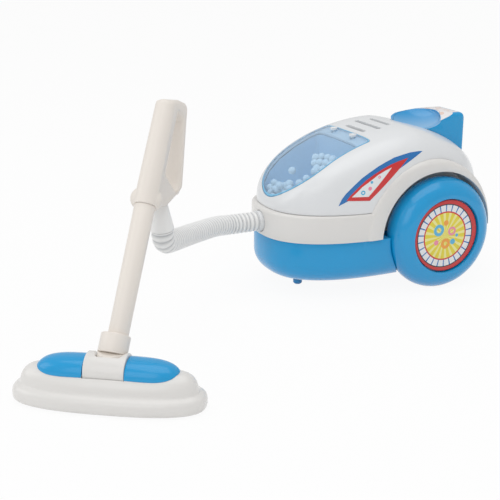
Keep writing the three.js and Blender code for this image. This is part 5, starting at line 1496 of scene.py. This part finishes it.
    def make_stripe(self) -> None:
        """Makes the printed stripe on both flanks: a blue blade, a red line and a white field."""
        blade = [
            (63.9, 54.0), (62.1, 58.0), (60.0, 60.7), (57.8, 62.5), (55.6, 64.8), (53.3, 66.7), (50.9, 68.6),
            (46.3, 71.3), (41.3, 73.9), (36.2, 76.0), (31.0, 77.8), (25.8, 78.8), (20.6, 79.6), (14.8, 79.8),
            (12.6, 79.6), (18.5, 77.7), (23.7, 76.8), (28.9, 75.8), (34.0, 74.5), (39.0, 72.5), (44.1, 70.2),
            (48.8, 67.3), (53.4, 63.6), (57.9, 59.6), (59.6, 57.1),
        ]
        line = [
            (59.7, 56.8), (57.7, 59.4), (53.5, 63.4), (48.8, 67.2), (44.0, 70.0), (39.1, 72.3), (34.0, 74.3),
            (28.9, 75.7), (22.5, 77.0), (26.5, 74.9), (29.2, 73.6), (34.4, 70.8), (39.4, 66.9), (41.8, 64.4),
            (44.2, 61.4), (45.5, 58.6), (46.5, 55.9), (48.7, 56.6), (53.4, 56.9), (57.7, 56.6),
        ]
        inner = [
            (56.9, 58.6), (53.4, 61.5), (51.2, 63.7), (46.5, 66.6), (41.7, 69.6), (36.8, 71.7), (33.2, 72.9),
            (36.7, 70.9), (39.4, 69.0), (41.8, 66.7), (44.1, 63.8), (46.2, 60.3), (47.3, 58.2), (51.0, 58.8),
            (55.6, 58.7),
        ]
        dots = (
            Dot(50.6, 60.6, 1.3, SKY, 0.4), Dot(46.6, 62.6, 1.1, PINK), Dot(45.6, 66.0, 0.8, SKY),
            Dot(41.0, 68.4, 0.8, PINK, 0.4),
        )
        for side in Side:
            field_print = Plastic(f"stripe_field_{side.label}", PRINT_WHITE, 0.25, 0.01)
            field_paint = field_print.make(lambda n: self.paint_stripe(n, dots))
            layers = (
                ("blade", blade, 0.06, DEEP_BLUE), ("line", line, 0.14, RED), ("field", inner, 0.22, None),
            )
            for name, outline, lift, colour in layers:
                piece = self.decal(f"stripe_{name}_{side.label}", outline, side, lift)
                material = field_paint if colour is None else self.vinyl(name, colour)
                dress(piece, material, "canister", "white_plastic")

    def vinyl(self, name: str, colour: Colour) -> Material:
        """A plain printed colour, made once."""
        found = bpy.data.materials.get(f"stripe_{name}_print")
        return found or Plastic(f"stripe_{name}_print", colour, 0.25, 0.015, coat=0.2).make()

    def paint_stripe(self, n: Nodes, dots: Iterable[Dot]) -> Socket:
        """Wires the stripe field's spots.

        Args:
            n: The material's tree.
            dots: The spots, by forward place and height.

        Returns:
            The colour socket.
        """
        place = n.add("ShaderNodeTexCoord").outputs["Object"]
        axes = n.add("ShaderNodeSeparateXYZ", {0: place})
        forward = n.math("SUBTRACT", self.ground.y * MM, axes.outputs["Y"])
        return paint_dots(n, n.plain(PRINT_WHITE), dots, forward, axes.outputs["Z"])

    def decal(self, name: str, outline: Sequence[Point2], side: Side, lift: float) -> Solid:
        """A thin sticker on the dome's flank.

        Args:
            name: The object's name.
            outline: Its corners as forward place and height.
            side: Which flank.
            lift: How far its face stands off the dome.

        Returns:
            The closed object.
        """
        bm = bmesh.new()
        face = bm.faces.new([bm.verts.new((s, z, 0)) for s, z in outline])
        bmesh.ops.triangulate(bm, faces=[face], ngon_method="EAR_CLIP")
        for _ in range(6):
            long_edges = [e for e in bm.edges if e.calc_length() > 1.6]
            bmesh.ops.subdivide_edges(bm, edges=long_edges, cuts=1)
            bmesh.ops.triangulate(bm, faces=bm.faces)
        rim = [e for e in bm.edges if e.is_boundary]
        bottom = {v: self.on_dome(v.co.x, v.co.y, side, 0.01) for v in bm.verts}
        top = {v: self.on_dome(v.co.x, v.co.y, side, lift) for v in bm.verts}
        made = bmesh.new()
        low = {v: made.verts.new(p) for v, p in bottom.items()}
        high = {v: made.verts.new(p) for v, p in top.items()}
        for f in bm.faces:
            made.faces.new([high[v] for v in f.verts])
            made.faces.new([low[v] for v in reversed(f.verts)])
        for e in rim:
            a, b = e.verts
            made.faces.new([low[a], low[b], high[b], high[a]])
        bm.free()
        return Form.smooth(Form.from_bmesh(name, made, self.place))

    def make_beads(self) -> None:
        """Heaps foam beads in the tray by letting them drop one by one."""
        rng = random.Random(11)
        radius, floor = self.bead_radius, self.ledge + GAP + self.tray_floor + GAP
        outline = [Vector(p) for p in self.window_outline(self.window_lip, self.window_top_lip)]
        placed: list[Vector] = []
        clinging = [Vector(p) for p in self.clinging_beads]
        for cx, forward, wide, deep, count in self.heaps:
            for _ in range(count):
                best = None
                for _ in range(40):
                    x = cx + rng.uniform(-wide, wide)
                    y = -(forward + rng.uniform(-deep, deep))
                    if not self.inside(outline, x, y, radius + GAP):
                        continue
                    z = self.drop(placed, x, y, radius, floor)
                    if best is None or z < best.z:
                        best = Vector((x, y, z))
                if best is not None and self.under_pane(best, radius):
                    placed.append(best)
        points = [self.place @ p for p in placed + clinging]
        beads = bead_tree().run(point_object("beads", points), {
            "Radius": radius * MM, "Seed": 5, "Material": self.finishes.foam,
        })
        names = [f"foam_bead_{i}" for i in range(1, 9)]
        dress(beads, self.finishes.foam, "canister", "foam", *names)

    def under_pane(self, point: Vector, radius: float) -> bool:
        """Whether a bead fits below the pane."""
        _, rise, _ = self.dome_size(-point.y, -self.dome_wall)
        return point.z + radius < self.ledge + rise - 1.0

    @staticmethod
    def inside(outline: Sequence[Vector], x: float, y: float, room: float) -> bool:
        """Whether a point lies inside an outline, with some room to it."""
        here, within = Vector((x, y)), False
        for a, b in zip(outline, [*outline[1:], outline[0]]):
            if (a.y > y) != (b.y > y) and x < (b.x - a.x) * (y - a.y) / (b.y - a.y) + a.x:
                within = not within
            edge = b - a
            if edge.length > 1e-6:
                t = min(max((here - a).dot(edge) / edge.length_squared, 0), 1)
                if (here - a - edge * t).length < room:
                    return False
        return within

    @staticmethod
    def drop(placed: Sequence[Vector], x: float, y: float, radius: float, floor: float) -> float:
        """The height at which a dropped bead comes to rest on those below it."""
        z = floor + radius
        for p in placed:
            gap = (2 * radius) ** 2 - (p.x - x) ** 2 - (p.y - y) ** 2
            if gap > 0:
                z = max(z, p.z + math.sqrt(gap))
        return z

    def dress_inside(self, nodes: dict[str, Solid]) -> None:
        """Gives the solids that stay as they are their finishes.

        Args:
            nodes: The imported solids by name.
        """
        f = self.finishes
        groups = (
            (f.blue, ("battery_door", "front_foot", "case_screw_1", "case_screw_2")),
            (f.chamber, ("bead_tray",)), (f.inner, ("motor_frame", "impeller")), (f.white, ("hose_inlet",)),
            (f.black, ("switch_body",)), (f.jacket, ("aa_cell_1", "aa_cell_2")),
            (f.steel, (
                "motor", "axle", "axle_nut_left", "axle_nut_right", "button_spring", "contact_bridge",
                "contact_minus", "contact_plus", "battery_door_screw", "case_screw_3", "case_screw_4",
            )),
            (f.cuff, ("window_screw_left", "window_screw_right")),
        )
        for material, names in groups:
            for name in names:
                coat(nodes[name], material)
                LOG.info("%s keeps its solid", name)
        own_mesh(nodes["button_spring"])

    def build(self, nodes: dict[str, Solid]) -> None:
        """Makes every piece of the canister."""
        self.make_base()
        self.make_skirt()
        self.make_dome()
        self.make_tail()
        self.make_wheels()
        self.make_stripe()
        self.make_beads()
        self.dress_inside(nodes)


@dataclass
class Hose:
    """The ribbed hose from the canister's inlet to the wand's cuff."""

    finishes: Finishes
    route: Sequence[Point3]
    radius: float = 5.5
    groove: float = 0.8
    pitch: float = 2.6
    rings_per_rib: int = 12

    def build(self) -> None:
        """Makes the hose along its curved route between the canister and the wand."""
        points = [Vector(p) for p in self.route]
        length = sum((b - a).length for a, b in zip(points, points[1:])) * MM
        ribs = round(length / (self.pitch * MM))
        hose = hose_tree().run(point_object("ribbed_hose", points, path=True), {
            "Radius": self.radius * MM, "Groove": self.groove * MM, "Pitch": length / ribs,
            "Rings": ribs * self.rings_per_rib + 1, "Material": self.finishes.hose,
        })
        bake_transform(hose)
        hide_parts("hose")
        LOG.info("hose is %.1f mm long with %d ribs", length / MM, ribs)


@dataclass
class Wand:
    """The wand: collar, tube, loop handle and the cuff that takes the hose, measured up from the lean pin."""

    finishes: Finishes
    pin: Vector
    yaw: float
    tilt: float = 33.5
    lean: float = 4.5
    twist: float = -6.8
    tube_top: float = 65
    handle_top: float = 117.5
    spigot_drop: float = 47
    cuff_start: float = 2.9
    cuff_end: float = 15.9
    shift: float = 1.2
    collar_radius: float = 6.65
    foot_round: float = 7.6
    drum_drop: float = 10.6
    drum_round: float = 8.05
    overhang: float = -3.1
    collar_foot: float = -9.0
    collar_top: float = 5.5
    collar_edge: float = 0.6
    socket_radius: float = 4.65
    socket_depth: float = 1.6
    pin_hole: float = 1.4
    branch_back: float = 17.1
    branch_rise: float = 9.4

    @property
    def lean_place(self) -> Matrix:
        """The collar's frame, in millimetres."""
        turn = turn_about("Z", self.yaw) @ turn_about("X", -self.tilt)
        return Matrix.Translation(self.pin) @ turn @ turn_about("Y", self.lean)

    @property
    def place(self) -> Matrix:
        """The tube's frame, in millimetres."""
        return self.straight @ Matrix.Translation((self.shift, 0, 0))

    @property
    def straight(self) -> Matrix:
        """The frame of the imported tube, which the branch keeps, in millimetres."""
        return self.lean_place @ turn_about("Z", self.twist)

    def branch(self) -> Matrix:
        """The frame of the branch that the hose leaves by."""
        turn = Matrix.Rotation(-math.pi / 2 - math.radians(self.spigot_drop), 4, "X")
        spot = (0, self.branch_back, self.tube_top + GAP + self.branch_rise)
        return self.straight @ Matrix.Translation(spot) @ turn

    def local_block(self, name: str, low: Point3, high: Point3) -> Solid:
        """Makes a box between two corners of the collar's frame."""
        block = Form.block(name, low, high)
        block.data.transform(Matrix.Scale(MM, 4) @ self.lean_place @ Matrix.Scale(1 / MM, 4))
        return block

    def make_collar(self) -> None:
        """Makes the collar at the wand's foot, rounded about the lean pin so that it leans in its seat."""
        foot, top, radius, edge = self.collar_foot, self.collar_top, self.collar_radius, self.collar_edge
        profile = [(0, foot), (radius, foot)]
        profile += arc(radius - edge, top - edge, edge, 0, 90, 5) + [(0, top)]
        place = self.lean_place @ Matrix.Translation((self.shift / 4, 0, 0))
        collar = Form.revolve("collar", profile, 96, place)
        ends = [self.lean_place @ Vector((0, y, 0)) for y in (-12, 12)]
        drum_ends = [self.lean_place @ Vector((x, 0, -self.drum_drop)) for x in (-16, 16)]
        outside = self.local_block("outside", (-14, -11, -14), (14, 11, 0))
        overhang = self.local_block("overhang", (-14, -11, -14), (14, 11, self.overhang))
        pocket = self.local_block("pocket", (-5.2, -2.2, -12), (5.2, 2.2, 3.4))
        Form.combine(outside, Join.CUT, Form.rod("foot_round", self.foot_round, *ends, 128))
        Form.combine(overhang, Join.CUT, Form.rod("drum_round", self.drum_round, *drum_ends, 128))
        mouth = circle(self.socket_radius, 64)
        socket = Form.prism("socket", mouth, top - self.socket_depth, top + 1, self.place)
        pin_ends = [self.lean_place @ Vector((0, y, 0)) for y in (-5.75, 8.2)]
        hole = Form.rod("pin_hole", self.pin_hole, *pin_ends, 32)
        Form.combine(collar, Join.CUT, outside, overhang, pocket, socket, hole)
        dress(Form.smooth(collar, 0.2), self.finishes.warm, "wand", "wand_plastic", "neck_collar")

    def make_tube(self) -> None:
        """Makes the slightly tapered tube."""
        shoulder = self.tube_top + GAP - 0.06
        profile = [(2.7, 4), (4.6, 4), (4.8, shoulder), (3.9, shoulder), (3.9, self.tube_top + 8)]
        profile += [(2.7, self.tube_top + 8), (2.7, 4)]
        tube = Form.smooth(Form.revolve("tube", profile, 96, self.place), 0.15)
        dress(tube, self.finishes.warm, "wand", "wand_plastic", "wand_tube")

    def loop_outlines(self) -> tuple[list[Point2], list[Point2]]:
        """The loop's outer outline and its hole, as back and up."""
        foot, top = self.tube_top + GAP, self.handle_top
        outer: list[Point2] = [
            (-2.4, foot + 0.4), (-2.4, top - 1.6), (0, top - 0.2), (5, top + 2.2), (12.6, top + 4.2),
        ]
        outer += bezier([(12.6, top + 4.2), (16.8, top + 4.6), (17.6, top + 0.2)], 14)
        outer.append((29.2, top - 31.5))
        outer += bezier([(29.2, top - 31.5), (29.6, top - 33.1), (28.2, top - 34.7)], 8)
        outer += bezier([(28.2, top - 34.7), (23.3, foot + 12.4), (15.8, foot + 5.6)], 12)
        outer.append((5.4, foot + 0.4))
        hole = rounded([
            (5.9, top - 3.2, 2.0), (5.9, foot + 17.9, 2.0), (24.2, foot + 15.0, 3.4), (24.8, top - 30.5, 3.0),
            (14.2, top - 3.2, 2.4),
        ], 8)
        return outer, hole

    def make_handle(self) -> None:
        """Makes the loop handle with the branch for the hose."""
        foot, top = self.tube_top + GAP, self.handle_top
        profile = [(0, foot)] + arc(5.0, foot + 0.4, 0.4, -90, 0, 4)
        profile += arc(4.75 - 3.0, top - 3.9, 3.0, 0, 90, 12)
        leg = Form.revolve("handle", profile + [(0, top - 0.9)], 96, self.place)
        loop = Form.plate("loop", self.loop_outlines(), 4.6, 1.8, self.place @ SIDE_VIEW, 6)
        shape = Matrix.Translation((-1.0, 2.6, foot + 3.9)) @ Matrix.Diagonal((7.6, 6.5, 6.2, 1))
        swelling = Form.ball("swelling", 64, 40, self.place @ shape)
        arm = [(0, 0), (3.9, 0), (3.9, 2.6), (2.3, 2.6), (2.3, 12.6), (0, 12.6)]
        branch = Form.revolve("branch", arm, 72, self.branch())
        Form.combine(leg, Join.ADD, loop, swelling, branch)
        socket = Form.prism("socket", circle(4.2, 64), foot - 5, foot + 8.3, self.place)
        room = Form.prism("tube_room", circle(9, 64), foot - 12, foot, self.place)
        Form.combine(leg, Join.CUT, socket, room)
        dress(Form.smooth(leg, 0.3), self.finishes.warm, "wand", "wand_plastic", "wand_handle")

    def make_cuff(self) -> None:
        """Makes the cuff that joins the hose to the branch."""
        start, end = self.cuff_start, self.cuff_end
        profile = [(2.6, start), (3.45, start), (3.7, start + 0.3), (5.7, end - 0.9)]
        profile += arc(5.4, end - 0.4, 0.4, 0, 90, 4) + [(2.6, end), (2.6, start)]
        cuff = Form.smooth(Form.revolve("cuff", profile, 72, self.branch()), 0)
        dress(cuff, self.finishes.cuff, "wand", "wand_plastic", "hose_cuff")

    def build(self, nodes: dict[str, Solid]) -> None:
        """Makes every piece of the wand."""
        self.make_collar()
        self.make_tube()
        self.make_handle()
        self.make_cuff()
        coat(nodes["neck_pin"], self.finishes.steel)


@dataclass
class FloorHead:
    """The stepped floor head with its two blue caps, its sole and the drum that carries the wand."""

    finishes: Finishes
    middle: Vector
    yaw: float
    tilt: float = 33.5
    half_length: float = 43.5
    half_depth: float = 15.2
    power: float = 2.6
    flange: float = 8
    top: float = 16.5
    profile: tuple[Point2, ...] = (
        (1.6, 0.6), (0.8, 0.9), (0.25, 1.5), (0, 2.4), (0, 4.6), (0.25, 5.9), (0.85, 6.9), (1.7, 7.55),
        (2.6, 7.9), (3.2, 8.25), (3.5, 8.8), (3.7, 9.6), (3.95, 10.7), (4.35, 12.0), (5.0, 13.3),
        (5.9, 14.4), (7.0, 15.3), (8.3, 16.0), (9.4, 16.4), (10.3, 16.5),
    )
    wall: float = 3.2
    neck_shift: float = 0.8
    lean_pin: float = 10.6
    seat_round: float = 7.85
    drum_radius: float = 8.3
    drum_half: float = 9.2
    drum_edge: float = 0.4
    pin_hole: float = 1.4
    tongue_half: float = 2.8
    tongue_depth: float = 1.9
    doorway_half: float = 9.5
    doorway_depth: float = 8.8
    doorway_foot: float = 6.2
    cap_end: float = 32.5
    cap_half: float = 8.8
    cap_height: float = 7.9
    cap_power: float = 2.3

    @property
    def place(self) -> Matrix:
        """The head's frame on the ground, in millimetres."""
        return Matrix.Translation((self.middle.x, self.middle.y, 0)) @ turn_about("Z", self.yaw)

    def ring(self, inset: float, z: float) -> list[Vector]:
        """The head's outline at one height."""
        points = []
        for i in range(144):
            turn = 2 * math.pi * i / 144
            points.append(Vector((
                (self.half_length - inset) * signed_power(math.cos(turn), 2 / self.power),
                (self.half_depth - inset) * signed_power(math.sin(turn), 2 / self.power), z,
            )))
        return points

    def form(self, name: str, grow: float) -> Solid:
        """The head's stepped outer form, grown all over."""
        rings = []
        for inset, z in self.profile:
            rings.append(self.ring(inset - grow, z + grow if z > self.flange / 2 else z))
        return Form.loft(name, rings, place=self.place)

    def make_shell(self) -> None:
        """Makes the stepped shell with the drum's doorway."""
        shell = self.form("stepped_shell", 0)
        roof = self.top - 2
        inside = [
            self.ring(self.wall, -1), self.ring(self.wall, 2.5), self.ring(self.wall + 1, self.flange - 1),
            self.ring(6.2, roof - 2), self.ring(9.7, roof),
        ]
        Form.combine(shell, Join.CUT, Form.loft("inside", inside, place=self.place))
        wide, deep = self.doorway_half, self.doorway_depth
        outline = [(-wide, -deep), (wide, -deep), (wide, deep), (-wide, deep)]
        doorway = Form.prism("doorway", outline, self.doorway_foot, self.top + 1, self.place)
        Form.combine(shell, Join.CUT, doorway)
        dress(Form.smooth(shell, 0.25), self.finishes.ivory, "floor_head", "ivory_plastic", "head_shell")

    def make_caps(self) -> None:
        """Makes the two blue caps."""
        base, start, end = self.top + GAP - 3, self.doorway_half, self.cap_end
        steps, points, power = 40, 48, 2 / self.cap_power
        for side in Side:
            rings = []
            for k in range(steps):
                x = start + (end - start) * math.sin(math.pi / 2 * k / steps)
                share = (1 - (x / end) ** 5) ** (1 / 2.2)
                row = []
                for i in range(points + 1):
                    turn = math.pi * i / points
                    across = self.cap_half * share * signed_power(math.cos(turn), power)
                    up = self.cap_height * share * abs(math.sin(turn)) ** power if i % points else 0.0
                    row.append(Vector((-side.value * x, across, base + up)))
                rings.append(row)
            name = side.label
            first = Vector((-side.value * start, 0, base + 2))
            cap = Form.loft(f"cap_{name}", rings, (first, Vector((-side.value * end, 0, base))), self.place)
            Form.combine(cap, Join.CUT, self.form("shoulder", 0.1))
            Form.smooth(cap, 0.35, 50)
            dress(cap, self.finishes.blue, "floor_head", "blue_plastic", f"head_cap_{name}")

    def make_drum(self) -> None:
        """Makes the drum that tilts between the caps, with the tongue that the collar leans on."""
        place = Matrix.Translation(self.middle) @ turn_about("Z", self.yaw) @ turn_about("X", -self.tilt)
        sideways = place @ Matrix.Rotation(math.pi / 2, 4, "Y")
        edge, half, shift = self.drum_edge, self.drum_half, self.neck_shift
        rim, flat = self.drum_radius - edge, half - edge
        profile = [(0, -half), (rim, -half)]
        profile += arc(rim, -flat, edge, -90, 0, 4) + arc(rim, flat, edge, 0, 90, 4) + [(0, half)]
        drum = Form.revolve("drum", profile, 128, sideways)
        ends = [place @ Vector((shift, y, self.lean_pin)) for y in (-6.85, 6.85)]
        seat = Form.rod("seat", self.seat_round, *ends, 128)
        Form.combine(drum, Join.CUT, seat)
        wide, deep = self.tongue_half, self.tongue_depth
        tongue = arc(shift, self.lean_pin, wide, 0, 180, 16) + [(shift - wide, 0), (shift + wide, 0)]
        Form.combine(drum, Join.ADD, Form.prism("tongue", tongue, -deep, deep, place @ FRONT_VIEW))
        pin = [place @ Vector((shift, y, self.lean_pin)) for y in (-4, 4)]
        tilt_pin = [place @ Vector((x, 0, 0)) for x in (-12, 12)]
        holes = [Form.rod("pin_hole", self.pin_hole, *ends, 32) for ends in (pin, tilt_pin)]
        Form.combine(drum, Join.CUT, *holes)
        dress(Form.smooth(drum, 0.15), self.finishes.ivory, "neck", "ivory_plastic", "neck_drum")

    def build(self, nodes: dict[str, Solid]) -> None:
        """Makes every piece of the floor head."""
        self.make_shell()
        self.make_caps()
        self.make_drum()
        for name, material in (
            ("head_sole", self.finishes.ivory), ("tilt_pin", self.finishes.steel),
            ("head_screw_left", self.finishes.steel), ("head_screw_right", self.finishes.steel),
        ):
            coat(nodes[name], material)


@dataclass(frozen=True)
class Studio:
    """The camera, the floor and the soft light."""

    eye: Point3
    heading: Point2 = (-0.904, 0.427)
    pitch: float = 17.92
    focal_pixels: float = 1050
    frame_pixels: float = 500
    sensor: float = 36.0
    floor_share: float = 0.93
    world_light: float = 0.62
    lamps: tuple[tuple[str, Point3, Point3, float, float], ...] = (
        ("top_softbox", (0.1, 0.0, 0.9), (0, 0, 0.03), 0.9, 2.6),
        ("front_softbox", (0.75, -0.75, 0.6), (0, 0, 0.05), 0.7, 1.3),
        ("left_softbox", (-0.3, -0.9, 0.5), (0, 0, 0.05), 0.6, 1.2),
    )

    def make_camera(self) -> None:
        """Makes the camera at the photograph's viewing angle."""
        data = bpy.data.cameras.new("camera")
        data.sensor_fit = "HORIZONTAL"
        data.sensor_width = self.sensor
        data.lens = self.focal_pixels / self.frame_pixels * self.sensor
        data.clip_start, data.clip_end = 0.01, 50
        camera = link_object("camera", data)
        ahead = Vector((*self.heading, 0)).normalized() * math.cos(math.radians(self.pitch))
        ahead.z = -math.sin(math.radians(self.pitch))
        camera.location = Vector(self.eye) * MM
        camera.rotation_euler = ahead.to_track_quat("-Z", "Y").to_euler()
        bpy.context.scene.camera = camera

    def white_shader(
        self, n: Nodes, lit: Socket, white: Socket, share: float
    ) -> Socket:
        """Shows plain white to the camera, to gloss and through glass.

        Args:
            n: The tree.
            lit: The shader for all other rays.
            white: The plain white shader.
            share: How much of it shows.

        Returns:
            The mixed shader.
        """
        path = n.add("ShaderNodeLightPath")
        seen = n.math("MAXIMUM", path.outputs["Is Camera Ray"], path.outputs["Is Glossy Ray"])
        seen = n.math("MAXIMUM", seen, path.outputs["Is Transmission Ray"])
        return n.add("ShaderNodeMixShader", {0: n.math("MULTIPLY", seen, share), 1: lit, 2: white}).outputs[0]

    def make_floor(self) -> None:
        """Makes the pale floor that keeps a soft shadow."""
        bm = bmesh.new()
        bmesh.ops.create_grid(bm, x_segments=1, y_segments=1, size=6000)
        floor = Form.from_bmesh("floor", bm, Matrix.Translation((0, 0, -0.05)))
        material, n, shader = new_material("floor_white")
        set_inputs(shader, {"Base Color": (0.9, 0.9, 0.9, 1), "Roughness": 0.7})
        white = n.add("ShaderNodeEmission", {"Color": (1, 1, 1, 1), "Strength": 1.0}).outputs[0]
        show(material, n, self.white_shader(n, shader.outputs[0], white, self.floor_share))
        floor.data.materials.append(material)

    def make_world(self) -> None:
        """Makes an even pale world that shows as white."""
        world = bpy.data.worlds.new("studio")
        bpy.context.scene.world = world
        world.use_nodes = True
        n = Nodes(world.node_tree)
        for node in list(world.node_tree.nodes):
            world.node_tree.nodes.remove(node)
        soft = n.add("ShaderNodeBackground", {"Color": (1, 1, 1, 1), "Strength": self.world_light}).outputs[0]
        white = n.add("ShaderNodeBackground", {"Color": (1, 1, 1, 1), "Strength": 1.0}).outputs[0]
        path = n.add("ShaderNodeLightPath")
        mixed = n.add("ShaderNodeMixShader", {0: path.outputs["Is Camera Ray"], 1: soft, 2: white})
        n.link(mixed.outputs[0], n.add("ShaderNodeOutputWorld").inputs["Surface"])

    def make_lamp(self, name: str, spot: Point3, aim: Point3, size: float, power: float) -> None:
        """Makes one softbox.

        Args:
            name: Its name.
            spot: Where it hangs, in metres.
            aim: The point that it faces.
            size: Its width.
            power: Its power in watts.
        """
        data = bpy.data.lights.new(name, "AREA")
        data.size = size
        data.energy = power
        lamp = link_object(name, data)
        lamp.location = spot
        lamp.rotation_euler = (Vector(aim) - Vector(spot)).to_track_quat("-Z", "Y").to_euler()

    def build(self) -> None:
        """Makes the whole studio."""
        bpy.context.scene.view_settings.view_transform = "Standard"
        self.make_camera()
        self.make_floor()
        self.make_world()
        for lamp in self.lamps:
            self.make_lamp(*lamp)


def route_points(cuff: Vector, direction: Vector, inlet: Vector, shift: Vector) -> list[Vector]:
    """The hose's route from the cuff to the inlet, its ends straight.

    Args:
        cuff: Where the cuff ends.
        direction: Which way the cuff points.
        inlet: Where the inlet's collar ends.
        shift: The axle's ground point.

    Returns:
        Even points along one smooth curve.
    """
    lead, run_in = 1.8, 9.0
    start = cuff + direction * GAP
    chosen = (
        (54.3, -171.4, 56.3), (53.3, -170.5, 54.4), (51.8, -169.2, 52.9), (50.1, -167.6, 52.1),
        (48.3, -166.1, 51.7), (44.2, -162.4, 50.7), (30.3, -150.2, 47.5), (15.8, -135.2, 44.5),
        (6.2, -123, 42.6), (1.4, -114, 41),
    )
    end = inlet + Vector((0, 0.8, 0))
    points = [start, start + direction * lead]
    points += [Vector(p) + shift for p in chosen]
    points += [end - Vector((0, run_in, 0)), end - Vector((0, run_in / 2, 0)), end]
    return smooth_path(points, 8)


def smooth_path(points: Sequence[Vector], steps: int) -> list[Vector]:
    """A centripetal curve through points.

    Args:
        points: The points.
        steps: Steps between two of them.

    Returns:
        The curve's points.
    """
    ends = [2 * points[0] - points[1], *points, 2 * points[-1] - points[-2]]
    found = [points[0].copy()]
    for k in range(1, len(ends) - 2):
        p0, p1, p2, p3 = ends[k - 1:k + 3]
        knots = [0.0]
        for a, b in ((p0, p1), (p1, p2), (p2, p3)):
            knots.append(knots[-1] + math.sqrt((b - a).length))
        for i in range(1, steps + 1):
            t = lerp(knots[1], knots[2], i / steps)
            a1 = p0.lerp(p1, (t - knots[0]) / (knots[1] - knots[0]))
            a2 = p1.lerp(p2, (t - knots[1]) / (knots[2] - knots[1]))
            a3 = p2.lerp(p3, (t - knots[2]) / (knots[3] - knots[2]))
            b1 = a1.lerp(a2, (t - knots[0]) / (knots[2] - knots[0]))
            b2 = a2.lerp(a3, (t - knots[1]) / (knots[3] - knots[1]))
            found.append(b1.lerp(b2, (t - knots[1]) / (knots[2] - knots[1])))
    return found


def middle_of(node: str) -> Vector:
    """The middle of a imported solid's box, in millimetres."""
    low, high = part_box(node)
    return (low + high) / 2 / MM


def main() -> None:
    """Builds the studio, then each sub-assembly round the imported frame."""
    logging.basicConfig(level=logging.INFO, format="%(name)s: %(message)s")
    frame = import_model()
    nodes = frame["nodes"]
    axle = middle_of("axle")
    finishes = Finishes()
    Studio((EYE[0] + axle.x, EYE[1] + axle.y, EYE[2])).build()
    canister = Canister(finishes, axle)
    wand = Wand(finishes, middle_of("neck_pin"), HEAD_YAW)
    ground = canister.ground
    branch = wand.branch()
    cuff_end = branch @ Vector((0, 0, wand.cuff_end))
    inlet = ground + Vector((0, -INLET_END, canister.inlet_height))
    direction = (branch.to_3x3() @ Vector((0, 0, 1))).normalized()
    route = route_points(cuff_end, direction, inlet, ground)
    Hose(finishes, [tuple(p) for p in route]).build()
    canister.build(nodes)
    wand.build(nodes)
    FloorHead(finishes, middle_of("tilt_pin"), HEAD_YAW).build(nodes)


if __name__ == "__main__":
    main()
